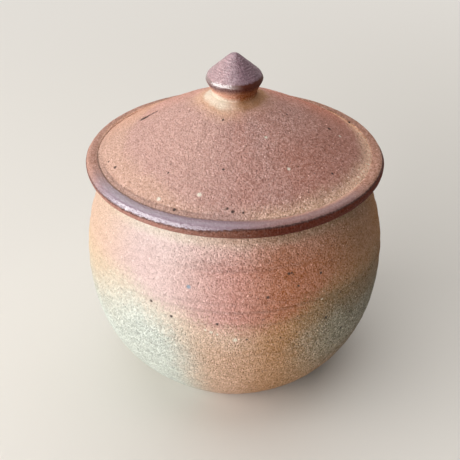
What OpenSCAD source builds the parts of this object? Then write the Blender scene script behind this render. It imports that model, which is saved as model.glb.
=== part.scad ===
// Lidded salt pot: a thrown stoneware pot, a loose lid with a locating flange, and a pointed knob.
// Every piece is turned about the vertical axis. The origin is on the table, under that axis.
// Sizes are in millimetres.

/* [Pot outside] */
// Widest outside diameter of the body
belly_d = 108; // [98:1:130]
// Height of the widest circle above the table
belly_h = 49; // [42:1:56]
// Outside diameter of the standing ring
foot_d = 60; // [50:1:72]
// Height of the lip, where the lid sits
lip_h = 81; // [74:1:96]
// Fullness of the curve below the belly, where 2 is an ellipse
lower_fullness = 2.3; // [2:0.05:2.6]
// Fullness of the curve above the belly, where 2 is an ellipse
upper_fullness = 1.9; // [1.7:0.05:2.2]

/* [Pot wall] */
// Thickness of the wall at the belly
wall_t = 5; // [4:0.25:7]
// Thickness of the floor over the recess
floor_t = 6; // [4:0.25:9]
// Inside diameter of the mouth
mouth_d = 80; // [68:1:88]
// Thickness of the wall at the lip
lip_t = 5.5; // [4.5:0.25:8]
// Fullness of the bowl inside, where 2 is an ellipse
bowl_fullness = 2.8; // [2.2:0.05:3.2]
// Rounding of both edges of the lip
lip_round = 1.6; // [0.8:0.1:2]

/* [Foot] */
// Width of the standing ring
foot_ring_w = 5.5; // [4:0.25:9]
// Depth of the recess inside the standing ring
foot_recess = 2.5; // [1.5:0.25:4]
// Height of the bevel round the outside of the foot
foot_bevel = 1; // [0.5:0.1:2]

/* [Lid rim] */
// Outside diameter of the lid
lid_d = 105; // [102:1:124]
// Height of the lid's widest circle above the lip
lid_edge_h = 3; // [2:0.25:5]
// Distance in from the widest circle to the flat underside
edge_under = 2.4; // [1.5:0.1:4]
// Distance in from the widest circle to the crest of the rolled rim
roll_out = 2.5; // [1.8:0.1:3.5]
// Distance in from the crest to the crease
roll_in = 1.9; // [0.8:0.1:2.5]
// Height of the crest above the widest circle
roll_h = 2.1; // [1.5:0.1:5]
// Width of the bevel between the widest circle and the round crown of the rim
bevel_w = 0.7; // [0.2:0.1:1.4]
// Height of the crown's rounding
crown_h = 1.1; // [0.6:0.1:1.4]
// Depth of the crease below the crest
crease_depth = 0.2; // [0.2:0.1:1.4]

/* [Lid dome and flange] */
// Rise from the crease to the flat that carries the knob
dome_rise = 20.8; // [12:0.1:28]
// Fullness of the dome, where 1 is a straight cone
dome_fullness = 1.2; // [1:0.02:1.6]
// Thickness of the dome, measured upright
lid_t = 5.5; // [4:0.25:7]
// Depth of the locating flange below the lip
flange_depth = 7; // [4:0.5:12]
// Thickness of the locating flange
flange_t = 4; // [3:0.25:6]
// Play between the flange and the mouth, all round
flange_play = 0.8; // [0.4:0.1:2]
// Rounding of the flange's lower edges
flange_round = 1.2; // [0.5:0.1:1.4]

/* [Knob] */
// Widest diameter of the knob
knob_d = 19.7; // [17:0.1:28]
// Height of the knob from the lid to its tip
knob_h = 15.8; // [13:0.1:24]
// Height of its widest circle above the lid
knob_edge_h = 6.8; // [5:0.1:9]
// Diameter of the neck
neck_d = 16; // [12:0.1:17]
// Height of the neck's waist above the lid
neck_h = 0.9; // [0.6:0.1:3]
// Diameter of the knob's foot on the lid
knob_foot_d = 17.6; // [17:0.2:26]
// Thickness of the slip at the edge of the knob's foot
knob_foot_edge = 0.3; // [0.2:0.1:0.5]
// Fullness of the side between the neck and the widest circle, where 1 is an even S
knob_fullness = 1.6; // [1:0.1:2]
// Radius of the knob's round edge
knob_edge_round = 2.3; // [0.5:0.1:2.5]
// Radius of the knob's round tip
knob_tip_round = 2.2; // [0.8:0.1:3]

/* [Hidden] */
$fn = 128;

// Straight steps that a long curve and a small rounding are drawn in
curve_steps = 24;
round_steps = 8;

// Pot radii and heights
belly_r = belly_d / 2;
foot_r = foot_d / 2;
mouth_r = mouth_d / 2;
lip_r = mouth_r + lip_t;
bowl_r = belly_r - wall_t;
ring_in_r = foot_r - foot_ring_w;
floor_top = foot_recess + floor_t;
lip_shoulder = lip_h - lip_round;

// Lid radii, and heights above its seat on the lip
lid_r = lid_d / 2;
crest_r = lid_r - roll_out;
crest_z = lid_edge_h + roll_h;
crease_r = crest_r - roll_in;
crease_z = crest_z - crease_depth;
land_z = crease_z + dome_rise;
flange_r = mouth_r - flange_play;
flange_in_r = flange_r - flange_t;

// Half-width of the rim's crown, and the angle at which the bevel meets it
crown_r = roll_out - bevel_w;
bevel_foot = [roll_out / crown_r, 1 - roll_h / crown_h];
crown_turn = atan2(bevel_foot[1], bevel_foot[0]) + acos(1 / norm(bevel_foot));

// Knob radii, and the angle at which its cone leaves both roundings
knob_r = knob_d / 2;
neck_r = neck_d / 2;
knob_foot_r = knob_foot_d / 2;
cone_dx = knob_r - knob_edge_round;
cone_dz = knob_h - knob_tip_round - knob_edge_h;
cone_turn = atan2(cone_dx, cone_dz)
    + asin((knob_edge_round - knob_tip_round) / norm([cone_dx, cone_dz]));

// Vertical half-axis of a full curve that starts upright at radius wide and passes radius narrow
// at a distance rise from there
function half_axis(wide, narrow, rise, fullness) =
    rise / pow(1 - pow(narrow / wide, fullness), 1 / fullness);

// Points of a full curve round [0, 0], from its angle start to its angle end
function full_curve(rx, rz, fullness, start, end, steps) = [
    for (i = [0 : steps])
        let (a = start + (end - start) * i / steps)
            [rx * pow(cos(a), 2 / fullness), rz * pow(sin(a), 2 / fullness)]
];

// Angle at which a full curve has gone a distance rise along its half-axis rz
function curve_angle(rise, rz, fullness) = asin(pow(rise / rz, fullness / 2));

// Points of an elliptical arc round a centre
function arc(centre, rx, rz, start, end, steps) = [
    for (i = [0 : steps])
        let (a = start + (end - start) * i / steps)
            [centre[0] + rx * cos(a), centre[1] + rz * sin(a)]
];

// A list of points from its end to its start
function back(points) = [for (i = [len(points) - 1 : -1 : 0]) points[i]];

// The part of a full curve that runs from the belly up to the lip's shoulder at radius narrow
function shoulder_curve(wide, narrow) =
    let (
        rise = lip_shoulder - belly_h,
        rz = half_axis(wide, narrow, rise, upper_fullness),
        end = curve_angle(rise, rz, upper_fullness)
    )
    [for (p = full_curve(wide, rz, upper_fullness, 0, end, curve_steps)) [p[0], belly_h + p[1]]];

// The part of a full curve that runs from the belly down to the foot's bevel
function lower_curve() =
    let (
        rz = half_axis(belly_r, foot_r, belly_h, lower_fullness),
        end = curve_angle(belly_h - foot_bevel, rz, lower_fullness)
    )
    [for (p = full_curve(belly_r, rz, lower_fullness, 0, end, curve_steps)) [p[0], belly_h - p[1]]];

// The bowl inside, from the belly down to the middle of the floor
function bowl_curve() = [
    for (p = full_curve(bowl_r, belly_h - floor_top, bowl_fullness, 0, 90, curve_steps))
        [p[0], belly_h - p[1]]
];

// Height of the dome above the lid's seat at radius r
function dome_z(r) =
    let (out = max(0, r - knob_foot_r) / (crease_r - knob_foot_r))
    crease_z + dome_rise * (1 - pow(out, dome_fullness));

// The dome from one radius to another, lowered by drop
function dome_curve(from, to, drop) = [
    for (i = [0 : curve_steps])
        let (r = from + (to - from) * i / curve_steps)
            [r, dome_z(r) - drop]
];

// Radius of the knob between its neck and its widest circle
function knob_side_r(z) =
    let (below = (knob_edge_h - z) / (knob_edge_h - neck_h))
    neck_r + (knob_r - neck_r) * (1 + cos(180 * pow(below, knob_fullness))) / 2;

// The thrown pot: foot ring, belly, lip and the bowl inside
module pot() {
    outline = concat(
        [[0, foot_recess], [ring_in_r - foot_recess, foot_recess], [ring_in_r, 0], [foot_r - foot_bevel, 0]],
        back(lower_curve()),
        shoulder_curve(belly_r, lip_r),
        arc([lip_r - lip_round, lip_shoulder], lip_round, lip_round, 0, 90, round_steps),
        arc([mouth_r + lip_round, lip_shoulder], lip_round, lip_round, 90, 180, round_steps),
        back(shoulder_curve(bowl_r, mouth_r)),
        bowl_curve()
    );
    color("#c4926e") rotate_extrude() polygon(outline);
}

// The thrown lid: dome, rolled rim, flat seat and the flange that hangs inside the mouth
module lid() {
    outline = concat(
        [[0, land_z - lid_t], [knob_foot_r, land_z - lid_t]],
        dome_curve(knob_foot_r, flange_in_r, lid_t),
        arc([flange_in_r + flange_round, flange_round - flange_depth],
            flange_round, flange_round, 180, 270, round_steps),
        arc([flange_r - flange_round, flange_round - flange_depth],
            flange_round, flange_round, 270, 360, round_steps),
        [[flange_r, 0]],
        arc([lid_r - edge_under, lid_edge_h], edge_under, lid_edge_h, 270, 360, round_steps),
        arc([crest_r, crest_z - crown_h], crown_r, crown_h, crown_turn, 90, round_steps),
        arc([crest_r, crease_z], roll_in, crease_depth, 90, 180, round_steps),
        dome_curve(crease_r, knob_foot_r, 0),
        [[0, land_z]]
    );
    color("#b0745c") translate([0, 0, lip_h]) rotate_extrude() polygon(outline);
}

// The pointed knob, luted on the flat top of the lid
module knob() {
    outline = concat(
        [[0, 0], [knob_foot_r, 0]],
        arc([knob_foot_r, neck_h], knob_foot_r - neck_r, neck_h - knob_foot_edge, 270, 180, round_steps),
        [for (i = [1 : curve_steps - 1])
            let (z = neck_h + (knob_edge_h - neck_h) * i / curve_steps)
                [knob_side_r(z), z]],
        arc([cone_dx, knob_edge_h], knob_edge_round, knob_edge_round, 0, cone_turn, round_steps),
        arc([0, knob_h - knob_tip_round], knob_tip_round, knob_tip_round, cone_turn, 90, round_steps)
    );
    color("#7f5a55") translate([0, 0, lip_h + land_z]) rotate_extrude() polygon(outline);
}

pot();
lid();
knob();
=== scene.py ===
"""A stoneware salt pot with a loose lid: the looks of its three turned pieces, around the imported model.

The pot, the lid and the knob are each thrown from a profile, roughened as sandy clay is, and dressed in
a flashed stoneware finish. Sizes are in millimetres, and MM turns them into metres. Azimuths are in
degrees round from the front of the pot to its right.
"""

import logging
import math
from abc import ABC, abstractmethod
from collections.abc import Sequence
from dataclasses import dataclass, field
from enum import Enum
from functools import partial, reduce
from itertools import accumulate

import bmesh
import bpy
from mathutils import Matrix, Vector
from mathutils.kdtree import KDTree


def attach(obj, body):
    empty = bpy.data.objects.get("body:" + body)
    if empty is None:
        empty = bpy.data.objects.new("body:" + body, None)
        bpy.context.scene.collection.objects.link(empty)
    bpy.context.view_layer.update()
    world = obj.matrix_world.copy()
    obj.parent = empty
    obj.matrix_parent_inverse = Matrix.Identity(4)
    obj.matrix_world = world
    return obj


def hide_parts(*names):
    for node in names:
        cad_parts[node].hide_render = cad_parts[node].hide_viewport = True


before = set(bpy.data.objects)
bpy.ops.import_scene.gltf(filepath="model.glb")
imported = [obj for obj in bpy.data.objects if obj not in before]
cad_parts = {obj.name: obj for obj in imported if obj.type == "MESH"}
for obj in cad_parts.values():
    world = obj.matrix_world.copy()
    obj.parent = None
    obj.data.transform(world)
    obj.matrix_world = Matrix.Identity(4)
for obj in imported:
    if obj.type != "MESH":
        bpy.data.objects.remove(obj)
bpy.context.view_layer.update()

log = logging.getLogger("salt_pot")

MM = 0.001

Pair = tuple[float, float]
Point = tuple[float, float]
Span = tuple[float, float]
Socket = bpy.types.NodeSocket
Feed = Socket | float

# Numbers of a mix node's colour sockets, which share their names with its other sockets
MIX_UNDER = 6
MIX_OVER = 7
MIX_RESULT = 2

# Sizes that more than one piece or finish takes
MOUTH_RADIUS = 40.0
LIP_HEIGHT = 81.0
RIM_HEIGHT = 3.0
DOME_HEIGHT = 25.7
LAND_HEIGHT = LIP_HEIGHT + DOME_HEIGHT
KNOB_FOOT = 8.8
KNOB_NECK = 7.75
KNOB_RADIUS = 9.85
KNOB_EDGE = 6.8

# Sides, from -1 on the left to 1 on the right, at which a finish takes its right and its left colour
RIGHTWARD: Span = (-0.1, 0.34)
LEFTWARD: Span = (0.05, -0.5)


class Body(Enum):
    """The bodies that pieces ride on."""

    POT = "pot"
    LID = "lid"


class Slot(Enum):
    """The record's material slots."""

    POT = "pot_stoneware"
    LID = "lid_stoneware"
    KNOB = "knob_stoneware"


class Sway(Enum):
    """The way a roughening moves the clay."""

    OUT = "NORMAL"
    SIDEWAYS = "X"
    FORWARDS = "Y"


class MarkKind(Enum):
    """The grains and pits that show one by one, each with its colour."""

    IRON = "#3d2f2b"
    # BLOOM is a glassy grain, whose pale blue is partly a painted glint of light on it
    BLOOM = "#93a3b4"
    QUARTZ = "#f4ead8"


@dataclass(frozen=True)
class Mark:
    """One grain or pit in the clay.

    Attributes:
        kind: What it is.
        azimuth: Where it lies round the axis, in degrees.
        at: Its height on the pot, or its radius on the lid.
        size: How far across it is.
        depth: How deep it is pressed in, or below zero, how far it stands out.
    """

    kind: MarkKind
    azimuth: float
    at: float
    size: float
    depth: float = 0.2


@dataclass(frozen=True)
class Spot:
    """A mark set in its place on a piece.

    Attributes:
        mark: The grain or pit.
        place: Its place in the object's frame, in millimetres.
    """

    mark: Mark
    place: Vector


@dataclass(frozen=True)
class Specks:
    """Round grains that are strewn through the clay at random.

    Attributes:
        spread: About how far apart they lie.
        size: How far across the largest is.
        soft: Width of a grain's soft edge.
        strength: How much of their colour shows.
        colour: Their colour, or none for grains that are paler than the clay round them.
    """

    spread: float
    size: float
    soft: float
    strength: float
    colour: str | None = None


def linear(colour: str) -> tuple[float, float, float, float]:
    """Turn a written colour into the linear one that shaders take.

    Args:
        colour: An sRGB colour such as "#c58f77".

    Returns:
        The colour's linear red, green and blue, and an alpha of 1.
    """
    parts = [int(colour[i:i + 2], 16) / 255 for i in (1, 3, 5)]
    bright = [p / 12.92 if p <= 0.04045 else ((p + 0.055) / 1.055) ** 2.4 for p in parts]
    return (*bright, 1.0)


def round_place(radius: float, azimuth: float, height: float) -> Vector:
    """Give the place at a radius, an azimuth and a height.

    Args:
        radius: Distance from the axis.
        azimuth: Degrees round from the front to the right.
        height: Height above the table.

    Returns:
        The place, in the units that radius and height are in.
    """
    turn = math.radians(azimuth)
    return Vector((radius * math.sin(turn), -radius * math.cos(turn), height))


def half_axis(wide: float, narrow: float, rise: float, fullness: float) -> float:
    """Find the upright half-axis of a full curve.

    Args:
        wide: Radius where the curve is upright.
        narrow: Radius that it has come in to.
        rise: Upright distance between the two.
        fullness: The curve's fullness, where 2 is an ellipse.

    Returns:
        The half-axis.
    """
    return rise / (1 - (narrow / wide) ** fullness) ** (1 / fullness)


def full_radius(wide: float, axis: float, fullness: float, rise: float) -> float:
    """Give a full curve's radius at an upright distance from its widest circle.

    Args:
        wide: The curve's widest radius.
        axis: Its upright half-axis.
        fullness: Its fullness, where 2 is an ellipse.
        rise: The upright distance.

    Returns:
        The radius there.
    """
    return wide * max(0.0, 1 - (abs(rise) / axis) ** fullness) ** (1 / fullness)


def arc(centre: Point, across: float, upright: float, start: float, end: float) -> list[Point]:
    """Draw an elliptical arc, finely.

    Args:
        centre: Its centre.
        across: Its half-axis across.
        upright: Its upright half-axis.
        start: The angle that it starts at, in degrees.
        end: The angle that it ends at, in degrees.

    Returns:
        Its points in order.
    """
    steps = 60
    turns = [math.radians(start + (end - start) * i / steps) for i in range(steps + 1)]
    return [(centre[0] + across * math.cos(t), centre[1] + upright * math.sin(t)) for t in turns]


def distances(points: Sequence[Point]) -> list[float]:
    """Give how far along a line each of its points lies."""
    return [0.0, *accumulate(math.dist(before, after) for before, after in zip(points, points[1:]))]


def shares(count: int) -> list[float]:
    """Give even shares from 0 to 1, in as many steps as count."""
    return [i / count for i in range(count + 1)]


def evenly(points: Sequence[Point], spacing: float) -> list[Point]:
    """Put points at an even spacing along a finely drawn line, and keep both its ends.

    Args:
        points: The line.
        spacing: About how far apart the new points lie.

    Returns:
        The new points in order.
    """
    along = distances(points)
    count = max(1, round(along[-1] / spacing))
    spaced = []
    piece = 0
    for i in range(count + 1):
        goal = along[-1] * i / count
        while piece < len(points) - 2 and along[piece + 1] < goal:
            piece += 1
        share = (goal - along[piece]) / max(1e-9, along[piece + 1] - along[piece])
        first, second = points[piece], points[piece + 1]
        spaced.append(tuple(a + (b - a) * share for a, b in zip(first, second)))
    return spaced


@dataclass(frozen=True)
class Rings:
    """The rings that fingers or a tool leave round turned clay: two waves that drift in and out of step.

    Attributes:
        pitch: Distance from ring to ring.
        depth: How far they stand in and out.
        fade: Distance over which they die away at both ends of a stretch.
        second: How deep the second wave is, as a share of the first.
        second_pitch: How many times as long it is.
        second_turn: How far ahead it starts, in radians.
    """

    pitch: float
    depth: float
    fade: float = 4.0
    second: float = 0.6
    second_pitch: float = 1.37
    second_turn: float = 1.3

    def on(self, points: Sequence[Point]) -> list[Point]:
        """Lay the rings on a stretch of a profile.

        Args:
            points: The stretch, evenly spaced.

        Returns:
            The stretch with its rings.
        """
        along = distances(points)
        ringed = [points[0]]
        for i in range(1, len(points) - 1):
            run = (points[i + 1][0] - points[i - 1][0], points[i + 1][1] - points[i - 1][1])
            length = math.hypot(*run)
            edge = min(along[i], along[-1] - along[i])
            wave = math.sin(math.tau * along[i] / self.pitch)
            drift = math.sin(math.tau * along[i] / (self.second_pitch * self.pitch) + self.second_turn)
            swell = (wave + self.second * drift) / (1 + self.second)
            reach = self.depth * min(1.0, edge / self.fade) * swell
            ringed.append((points[i][0] + reach * run[1] / length, points[i][1] - reach * run[0] / length))
        ringed.append(points[-1])
        return ringed


@dataclass
class Profile:
    """Half the section of a turned piece, drawn from the axis round to the axis again.

    Attributes:
        points: Radius and height of each point.
        bareness: For each point, how bare the clay is there: 0 is flashed by the fire, 1 is bare.
    """

    points: list[Point] = field(default_factory=list)
    bareness: list[float] = field(default_factory=list)

    def add(self, stretch: Sequence[Point], bare: float) -> None:
        """Draw one more stretch.

        Args:
            stretch: Its points. The first one is left out where the profile already ends there.
            bare: How bare the clay is along it.
        """
        for point in stretch:
            if self.points and math.dist(point, self.points[-1]) < 1e-4:
                continue
            self.points.append(point)
            self.bareness.append(bare)

    def raised(self, lift: float) -> "Profile":
        """Give the same profile, moved up by lift."""
        return Profile([(r, z + lift) for r, z in self.points], list(self.bareness))


@dataclass(frozen=True)
class Wheel:
    """The wheel that a piece is turned on, and the hands that finish it.

    Attributes:
        segments: Straight pieces that a full turn is drawn in.
        weld: Distance within which points are joined.
        give: How far round a grain or pit the clay moves with it, in sizes of the mark.
    """

    segments: int
    weld: float = 0.005
    give: float = 1.2

    def turn(self, name: str, profile: Profile) -> bpy.types.Object:
        """Turn a profile into a closed piece, with its bareness kept as a point attribute.

        Args:
            name: The piece's name.
            profile: Its profile.

        Returns:
            The piece, active and alone selected.
        """
        bpy.ops.object.select_all(action="DESELECT")
        bpy.ops.mesh.primitive_plane_add(size=MM)
        piece = bpy.context.object
        piece.name = name
        piece.data.name = name
        bpy.ops.object.mode_set(mode="EDIT")
        bpy.ops.mesh.select_all(action="SELECT")
        bpy.ops.mesh.merge(type="CENTER")
        here = (0.0, 0.0)
        for i, point in enumerate(profile.points):
            step = {"value": ((point[0] - here[0]) * MM, 0, (point[1] - here[1]) * MM)}
            if i == 0:
                bpy.ops.transform.translate(**step)
            else:
                bpy.ops.mesh.extrude_vertices_move(TRANSFORM_OT_translate=step)
            here = point
        bpy.ops.mesh.select_all(action="SELECT")
        bpy.ops.mesh.spin(steps=self.segments, angle=math.tau, center=(0, 0, 0), axis=(0, 0, 1))
        bpy.ops.mesh.select_all(action="SELECT")
        bpy.ops.mesh.remove_doubles(threshold=self.weld * MM)
        bpy.ops.mesh.normals_make_consistent(inside=False)
        bpy.ops.object.mode_set(mode="OBJECT")
        bpy.ops.object.shade_smooth()
        self.keep_bareness(piece, profile)
        return piece

    def keep_bareness(self, piece: bpy.types.Object, profile: Profile) -> None:
        """Write the profile's bareness to the piece's points.

        Args:
            piece: The turned piece.
            profile: The profile that it was turned from.
        """
        tree = KDTree(len(profile.points))
        for i, (radius, height) in enumerate(profile.points):
            tree.insert((radius, height, 0), i)
        tree.balance()
        bare = piece.data.attributes.new("bare", "FLOAT", "POINT")
        for vertex in piece.data.vertices:
            radius = math.hypot(vertex.co.x, vertex.co.y)
            nearest = tree.find((radius / MM, vertex.co.z / MM, 0))[1]
            bare.data[vertex.index].value = profile.bareness[nearest]

    def roughen(self, piece: bpy.types.Object, grain: float, reach: float, sway: Sway = Sway.OUT) -> None:
        """Move the clay in and out by soft noise.

        Args:
            piece: The piece, active.
            grain: Size of the noise.
            reach: How far it moves the clay at most.
            sway: The way that it moves it.
        """
        clouds = bpy.data.textures.new("roughness", type="CLOUDS")
        clouds.noise_scale = grain * MM
        clouds.noise_depth = 1
        rough = piece.modifiers.new("roughness", "DISPLACE")
        rough.texture = clouds
        rough.texture_coords = "LOCAL"
        rough.direction = sway.value
        rough.mid_level = 0.5
        rough.strength = 2 * reach * MM
        bpy.ops.object.modifier_apply(modifier=rough.name)
        bpy.data.textures.remove(clouds)

    def press(self, piece: bpy.types.Object, spots: Sequence[Spot]) -> list[Spot]:
        """Press each pit into the clay, and lift each grain out of it.

        Args:
            piece: The piece, active.
            spots: About where the pits and grains are.

        Returns:
            The same spots, each at its place on the finished clay.
        """
        if not spots:
            return []
        tree = KDTree(len(piece.data.vertices))
        for vertex in piece.data.vertices:
            tree.insert(vertex.co, vertex.index)
        tree.balance()
        nearest = [tree.find(spot.place * MM)[1] for spot in spots]
        bpy.ops.object.mode_set(mode="EDIT")
        for spot, index in zip(spots, nearest):
            bpy.ops.mesh.select_all(action="DESELECT")
            clay = bmesh.from_edit_mesh(piece.data)
            clay.verts.ensure_lookup_table()
            clay.verts[index].select = True
            clay.select_flush(True)
            bpy.ops.transform.translate(
                value=clay.verts[index].normal * -spot.mark.depth * MM,
                use_proportional_edit=True,
                proportional_edit_falloff="SMOOTH",
                proportional_size=self.give * spot.mark.size * MM,
            )
        bpy.ops.object.mode_set(mode="OBJECT")
        clay = piece.data.vertices
        return [Spot(spot.mark, clay[index].co / MM) for spot, index in zip(spots, nearest)]


class FinishBench:
    """One material's node tree, built a node at a time. Places and sizes are in millimetres."""

    def __init__(self, name: str) -> None:
        """Start a material with nothing in it but where a point lies.

        The front and the side run from -1 to 1: how far to the front and to the right the point faces.

        Args:
            name: The material's name.
        """
        self.material = bpy.data.materials.new(name)
        self.material.use_nodes = True
        self.tree = self.material.node_tree
        self.tree.nodes.clear()
        metres = self.node("ShaderNodeTexCoord").outputs["Object"]
        self.place = self.vector("SCALE", metres, scale=1 / MM)
        split = self.node("ShaderNodeSeparateXYZ")
        self.feed(split.inputs[0], self.place)
        self.x, self.y, self.height = split.outputs
        squared = self.ramp(self.y, self.y, self.times(self.x, self.x))
        self.radius = self.math("SQRT", squared)
        self.front = self.math("DIVIDE", self.times(self.y, -1.0), self.radius)
        self.side = self.math("DIVIDE", self.x, self.radius)

    def node(self, kind: str, **settings: object) -> bpy.types.Node:
        """Add a node.

        Args:
            kind: The node's type.
            settings: Its properties.

        Returns:
            The node.
        """
        node = self.tree.nodes.new(kind)
        for name, value in settings.items():
            setattr(node, name, value)
        return node

    def feed(self, socket: Socket, value: object) -> None:
        """Link a socket to another, or set its value.

        Args:
            socket: The socket that is fed.
            value: A socket, a number, a vector or a written colour.
        """
        if isinstance(value, bpy.types.NodeSocket):
            self.tree.links.new(value, socket)
        elif isinstance(value, str):
            socket.default_value = linear(value)
        else:
            socket.default_value = value

    def math(self, operation: str, *values: Feed, clamp: bool = False) -> Socket:
        """Work out a number.

        Args:
            operation: The Math node's operation.
            values: Its inputs.
            clamp: Whether the answer is kept between 0 and 1.

        Returns:
            The answer's socket.
        """
        node = self.node("ShaderNodeMath", operation=operation, use_clamp=clamp)
        for socket, value in zip(node.inputs, values):
            self.feed(socket, value)
        return node.outputs[0]

    def vector(self, operation: str, *values: object, scale: Feed | None = None) -> Socket:
        """Work out a vector.

        Args:
            operation: The Vector Math node's operation.
            values: Its vector inputs.
            scale: Its scale, for the operation that has one.

        Returns:
            The answer's socket.
        """
        node = self.node("ShaderNodeVectorMath", operation=operation)
        for socket, value in zip(node.inputs, values):
            self.feed(socket, value)
        if scale is not None:
            self.feed(node.inputs["Scale"], scale)
        return node.outputs["Value"] if operation == "DISTANCE" else node.outputs["Vector"]

    def times(self, *values: Feed) -> Socket:
        """Multiply numbers together."""
        return reduce(partial(self.math, "MULTIPLY"), values)

    def plus(self, *values: Feed) -> Socket:
        """Add numbers together."""
        return reduce(partial(self.math, "ADD"), values)

    def ramp(self, value: Feed, slope: Feed, start: Feed) -> Socket:
        """Give value times slope, plus start."""
        return self.math("MULTIPLY_ADD", value, slope, start)

    def rest(self, value: Feed) -> Socket:
        """Give what is left of 1 when value is taken from it."""
        return self.math("SUBTRACT", 1.0, value)

    def step(self, value: Feed, low: float, high: float) -> Socket:
        """Rise smoothly from 0, where value is low, to 1, where it is high.

        Args:
            value: The number that is watched.
            low: Its value at 0.
            high: Its value at 1, which may be the lesser of the two.

        Returns:
            The rise.
        """
        node = self.node("ShaderNodeMapRange", interpolation_type="SMOOTHSTEP")
        self.feed(node.inputs["Value"], value)
        ends = ((low, 0.0), (high, 1.0)) if low < high else ((high, 1.0), (low, 0.0))
        node.inputs["From Min"].default_value, node.inputs["To Min"].default_value = ends[0]
        node.inputs["From Max"].default_value, node.inputs["To Max"].default_value = ends[1]
        return node.outputs["Result"]

    def step_from(self, value: Feed, base: float, ends: Span) -> Socket:
        """Rise as step does, between two ends that are measured from a base."""
        return self.step(value, base + ends[0], base + ends[1])

    def line(self, value: Feed, at: float, width: Span) -> Socket:
        """Draw a soft line along at, which begins and is full at the two distances of width from it."""
        away = self.math("ABSOLUTE", self.math("SUBTRACT", value, at))
        return self.step(away, *width)

    def swing(self, size: float, reach: float, where: Socket | None = None) -> Socket:
        """Swing either side of zero by soft noise.

        Args:
            size: Size of the noise.
            reach: How far it swings at most.
            where: The place that it is read at, if not the surface's own.

        Returns:
            The swing.
        """
        node = self.node("ShaderNodeTexNoise")
        self.feed(node.inputs["Vector"], where or self.place)
        node.inputs["Scale"].default_value = 1 / size
        node.inputs["Detail"].default_value = 2.0
        node.inputs["Roughness"].default_value = 0.6
        centred = self.math("SUBTRACT", node.outputs[0], 0.5)
        return self.times(centred, 2 * reach)

    def jitter(self, waves: float, reach: float) -> Socket:
        """Give a small random vector, which makes edges ragged.

        Args:
            waves: How many of its waves lie in a millimetre.
            reach: How long it is at most, about.

        Returns:
            The vector.
        """
        node = self.node("ShaderNodeTexNoise")
        self.feed(node.inputs["Vector"], self.place)
        node.inputs["Scale"].default_value = waves
        centred = self.vector("SUBTRACT", node.outputs["Color"], (0.5, 0.5, 0.5))
        return self.vector("SCALE", centred, scale=reach)

    def cells(self, size: float) -> tuple[Socket, Sequence[Socket]]:
        """Fill the clay with random cells.

        Args:
            size: About how far across a cell is.

        Returns:
            The distance from the cell's middle, in cells, and the cell's own random numbers from 0 to 1.
        """
        node = self.node("ShaderNodeTexVoronoi", feature="F1")
        self.feed(node.inputs["Vector"], self.place)
        node.inputs["Scale"].default_value = 1 / size
        own = self.node("ShaderNodeSeparateColor")
        self.feed(own.inputs[0], node.outputs["Color"])
        return node.outputs["Distance"], own.outputs

    def grains(self, specks: Specks) -> Socket:
        """Strew round grains at random, each of its own size.

        Args:
            specks: The grains.

        Returns:
            How much of a grain is here, from 0 to 1.
        """
        # A grain's radius runs from a sixth of the largest one's size to half of it
        away, own = self.cells(specks.spread)
        grown = self.ramp(own[0], -specks.size / 3, self.times(away, specks.spread))
        return self.step_from(grown, specks.size / 6, (specks.soft / 2, -specks.soft / 2))

    def blend(self, amount: Feed, under: object, over: object) -> Socket:
        """Lay one colour over another.

        Args:
            amount: How much of it, from 0 to 1.
            under: The colour below.
            over: The colour above.

        Returns:
            The blend.
        """
        node = self.node("ShaderNodeMix", data_type="RGBA")
        self.feed(node.inputs[0], amount)
        self.feed(node.inputs[MIX_UNDER], under)
        self.feed(node.inputs[MIX_OVER], over)
        return node.outputs[MIX_RESULT]

    def shade(self, colour: Socket, value: Feed, richness: Feed = 1.0) -> Socket:
        """Make a colour lighter or darker, and richer or paler.

        Args:
            colour: The colour.
            value: How many times as bright it becomes.
            richness: How many times as rich it becomes.

        Returns:
            The shaded colour.
        """
        node = self.node("ShaderNodeHueSaturation")
        self.feed(node.inputs["Color"], colour)
        self.feed(node.inputs["Value"], value)
        self.feed(node.inputs["Saturation"], richness)
        return node.outputs[0]

    def own(self, name: str) -> Socket:
        """Read one of the piece's own point attributes."""
        return self.node("ShaderNodeAttribute", attribute_name=name).outputs["Fac"]


@dataclass(frozen=True)
class Tones:
    """One finish from the left of the pot to its right: partly as the fire has left it, and partly painted
    light, a pale sheen on the lit left and warm bounced light on the right.

    Attributes:
        left: Colour on the left.
        middle: Colour in front and behind.
        right: Colour on the right.
    """

    left: str
    middle: str
    right: str

    def on(self, bench: FinishBench, across: Socket | None = None) -> Socket:
        """Spread the colours over a piece.

        Args:
            bench: The material being made.
            across: How far to the right this is, from -1 to 1, if not by the way that the side faces.

        Returns:
            The colour.
        """
        side = across or bench.side
        rightward = bench.blend(bench.step(side, *RIGHTWARD), self.middle, self.right)
        return bench.blend(bench.step(side, *LEFTWARD), rightward, self.left)


@dataclass(frozen=True)
class Zone:
    """A zone of a piece, with soft edges. Each pair says where it begins and where it is full.

    Attributes:
        side: How far to the right, from -1 to 1, for a zone that is bounded so.
        front: How far to the front, from -1 to 1, for a zone that is bounded so.
        level: How high up or how far out, for a zone that is bounded so.
        strength: How much more of it there is where it is full.
        least: How much of it there is elsewhere.
    """

    side: Span | None = None
    front: Span | None = None
    level: Span | None = None
    strength: float = 1.0
    least: float = 0.0

    def on(self, bench: FinishBench, level: Socket | None = None) -> Socket:
        """Work out how much of the zone is here.

        Args:
            bench: The material being made.
            level: The height or the radius here, for a zone that is bounded by it.

        Returns:
            The amount, from the zone's least to its strength more.
        """
        watched = ((self.side, bench.side), (self.front, bench.front), (self.level, level))
        steps = [bench.step(value, *ends) for ends, value in watched if ends]
        return bench.ramp(bench.times(*steps), self.strength, self.least)


@dataclass(frozen=True)
class Tint:
    """A thin colour laid over one zone.

    Attributes:
        colour: The colour.
        zone: Where it lies.
    """

    colour: str
    zone: Zone


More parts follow.
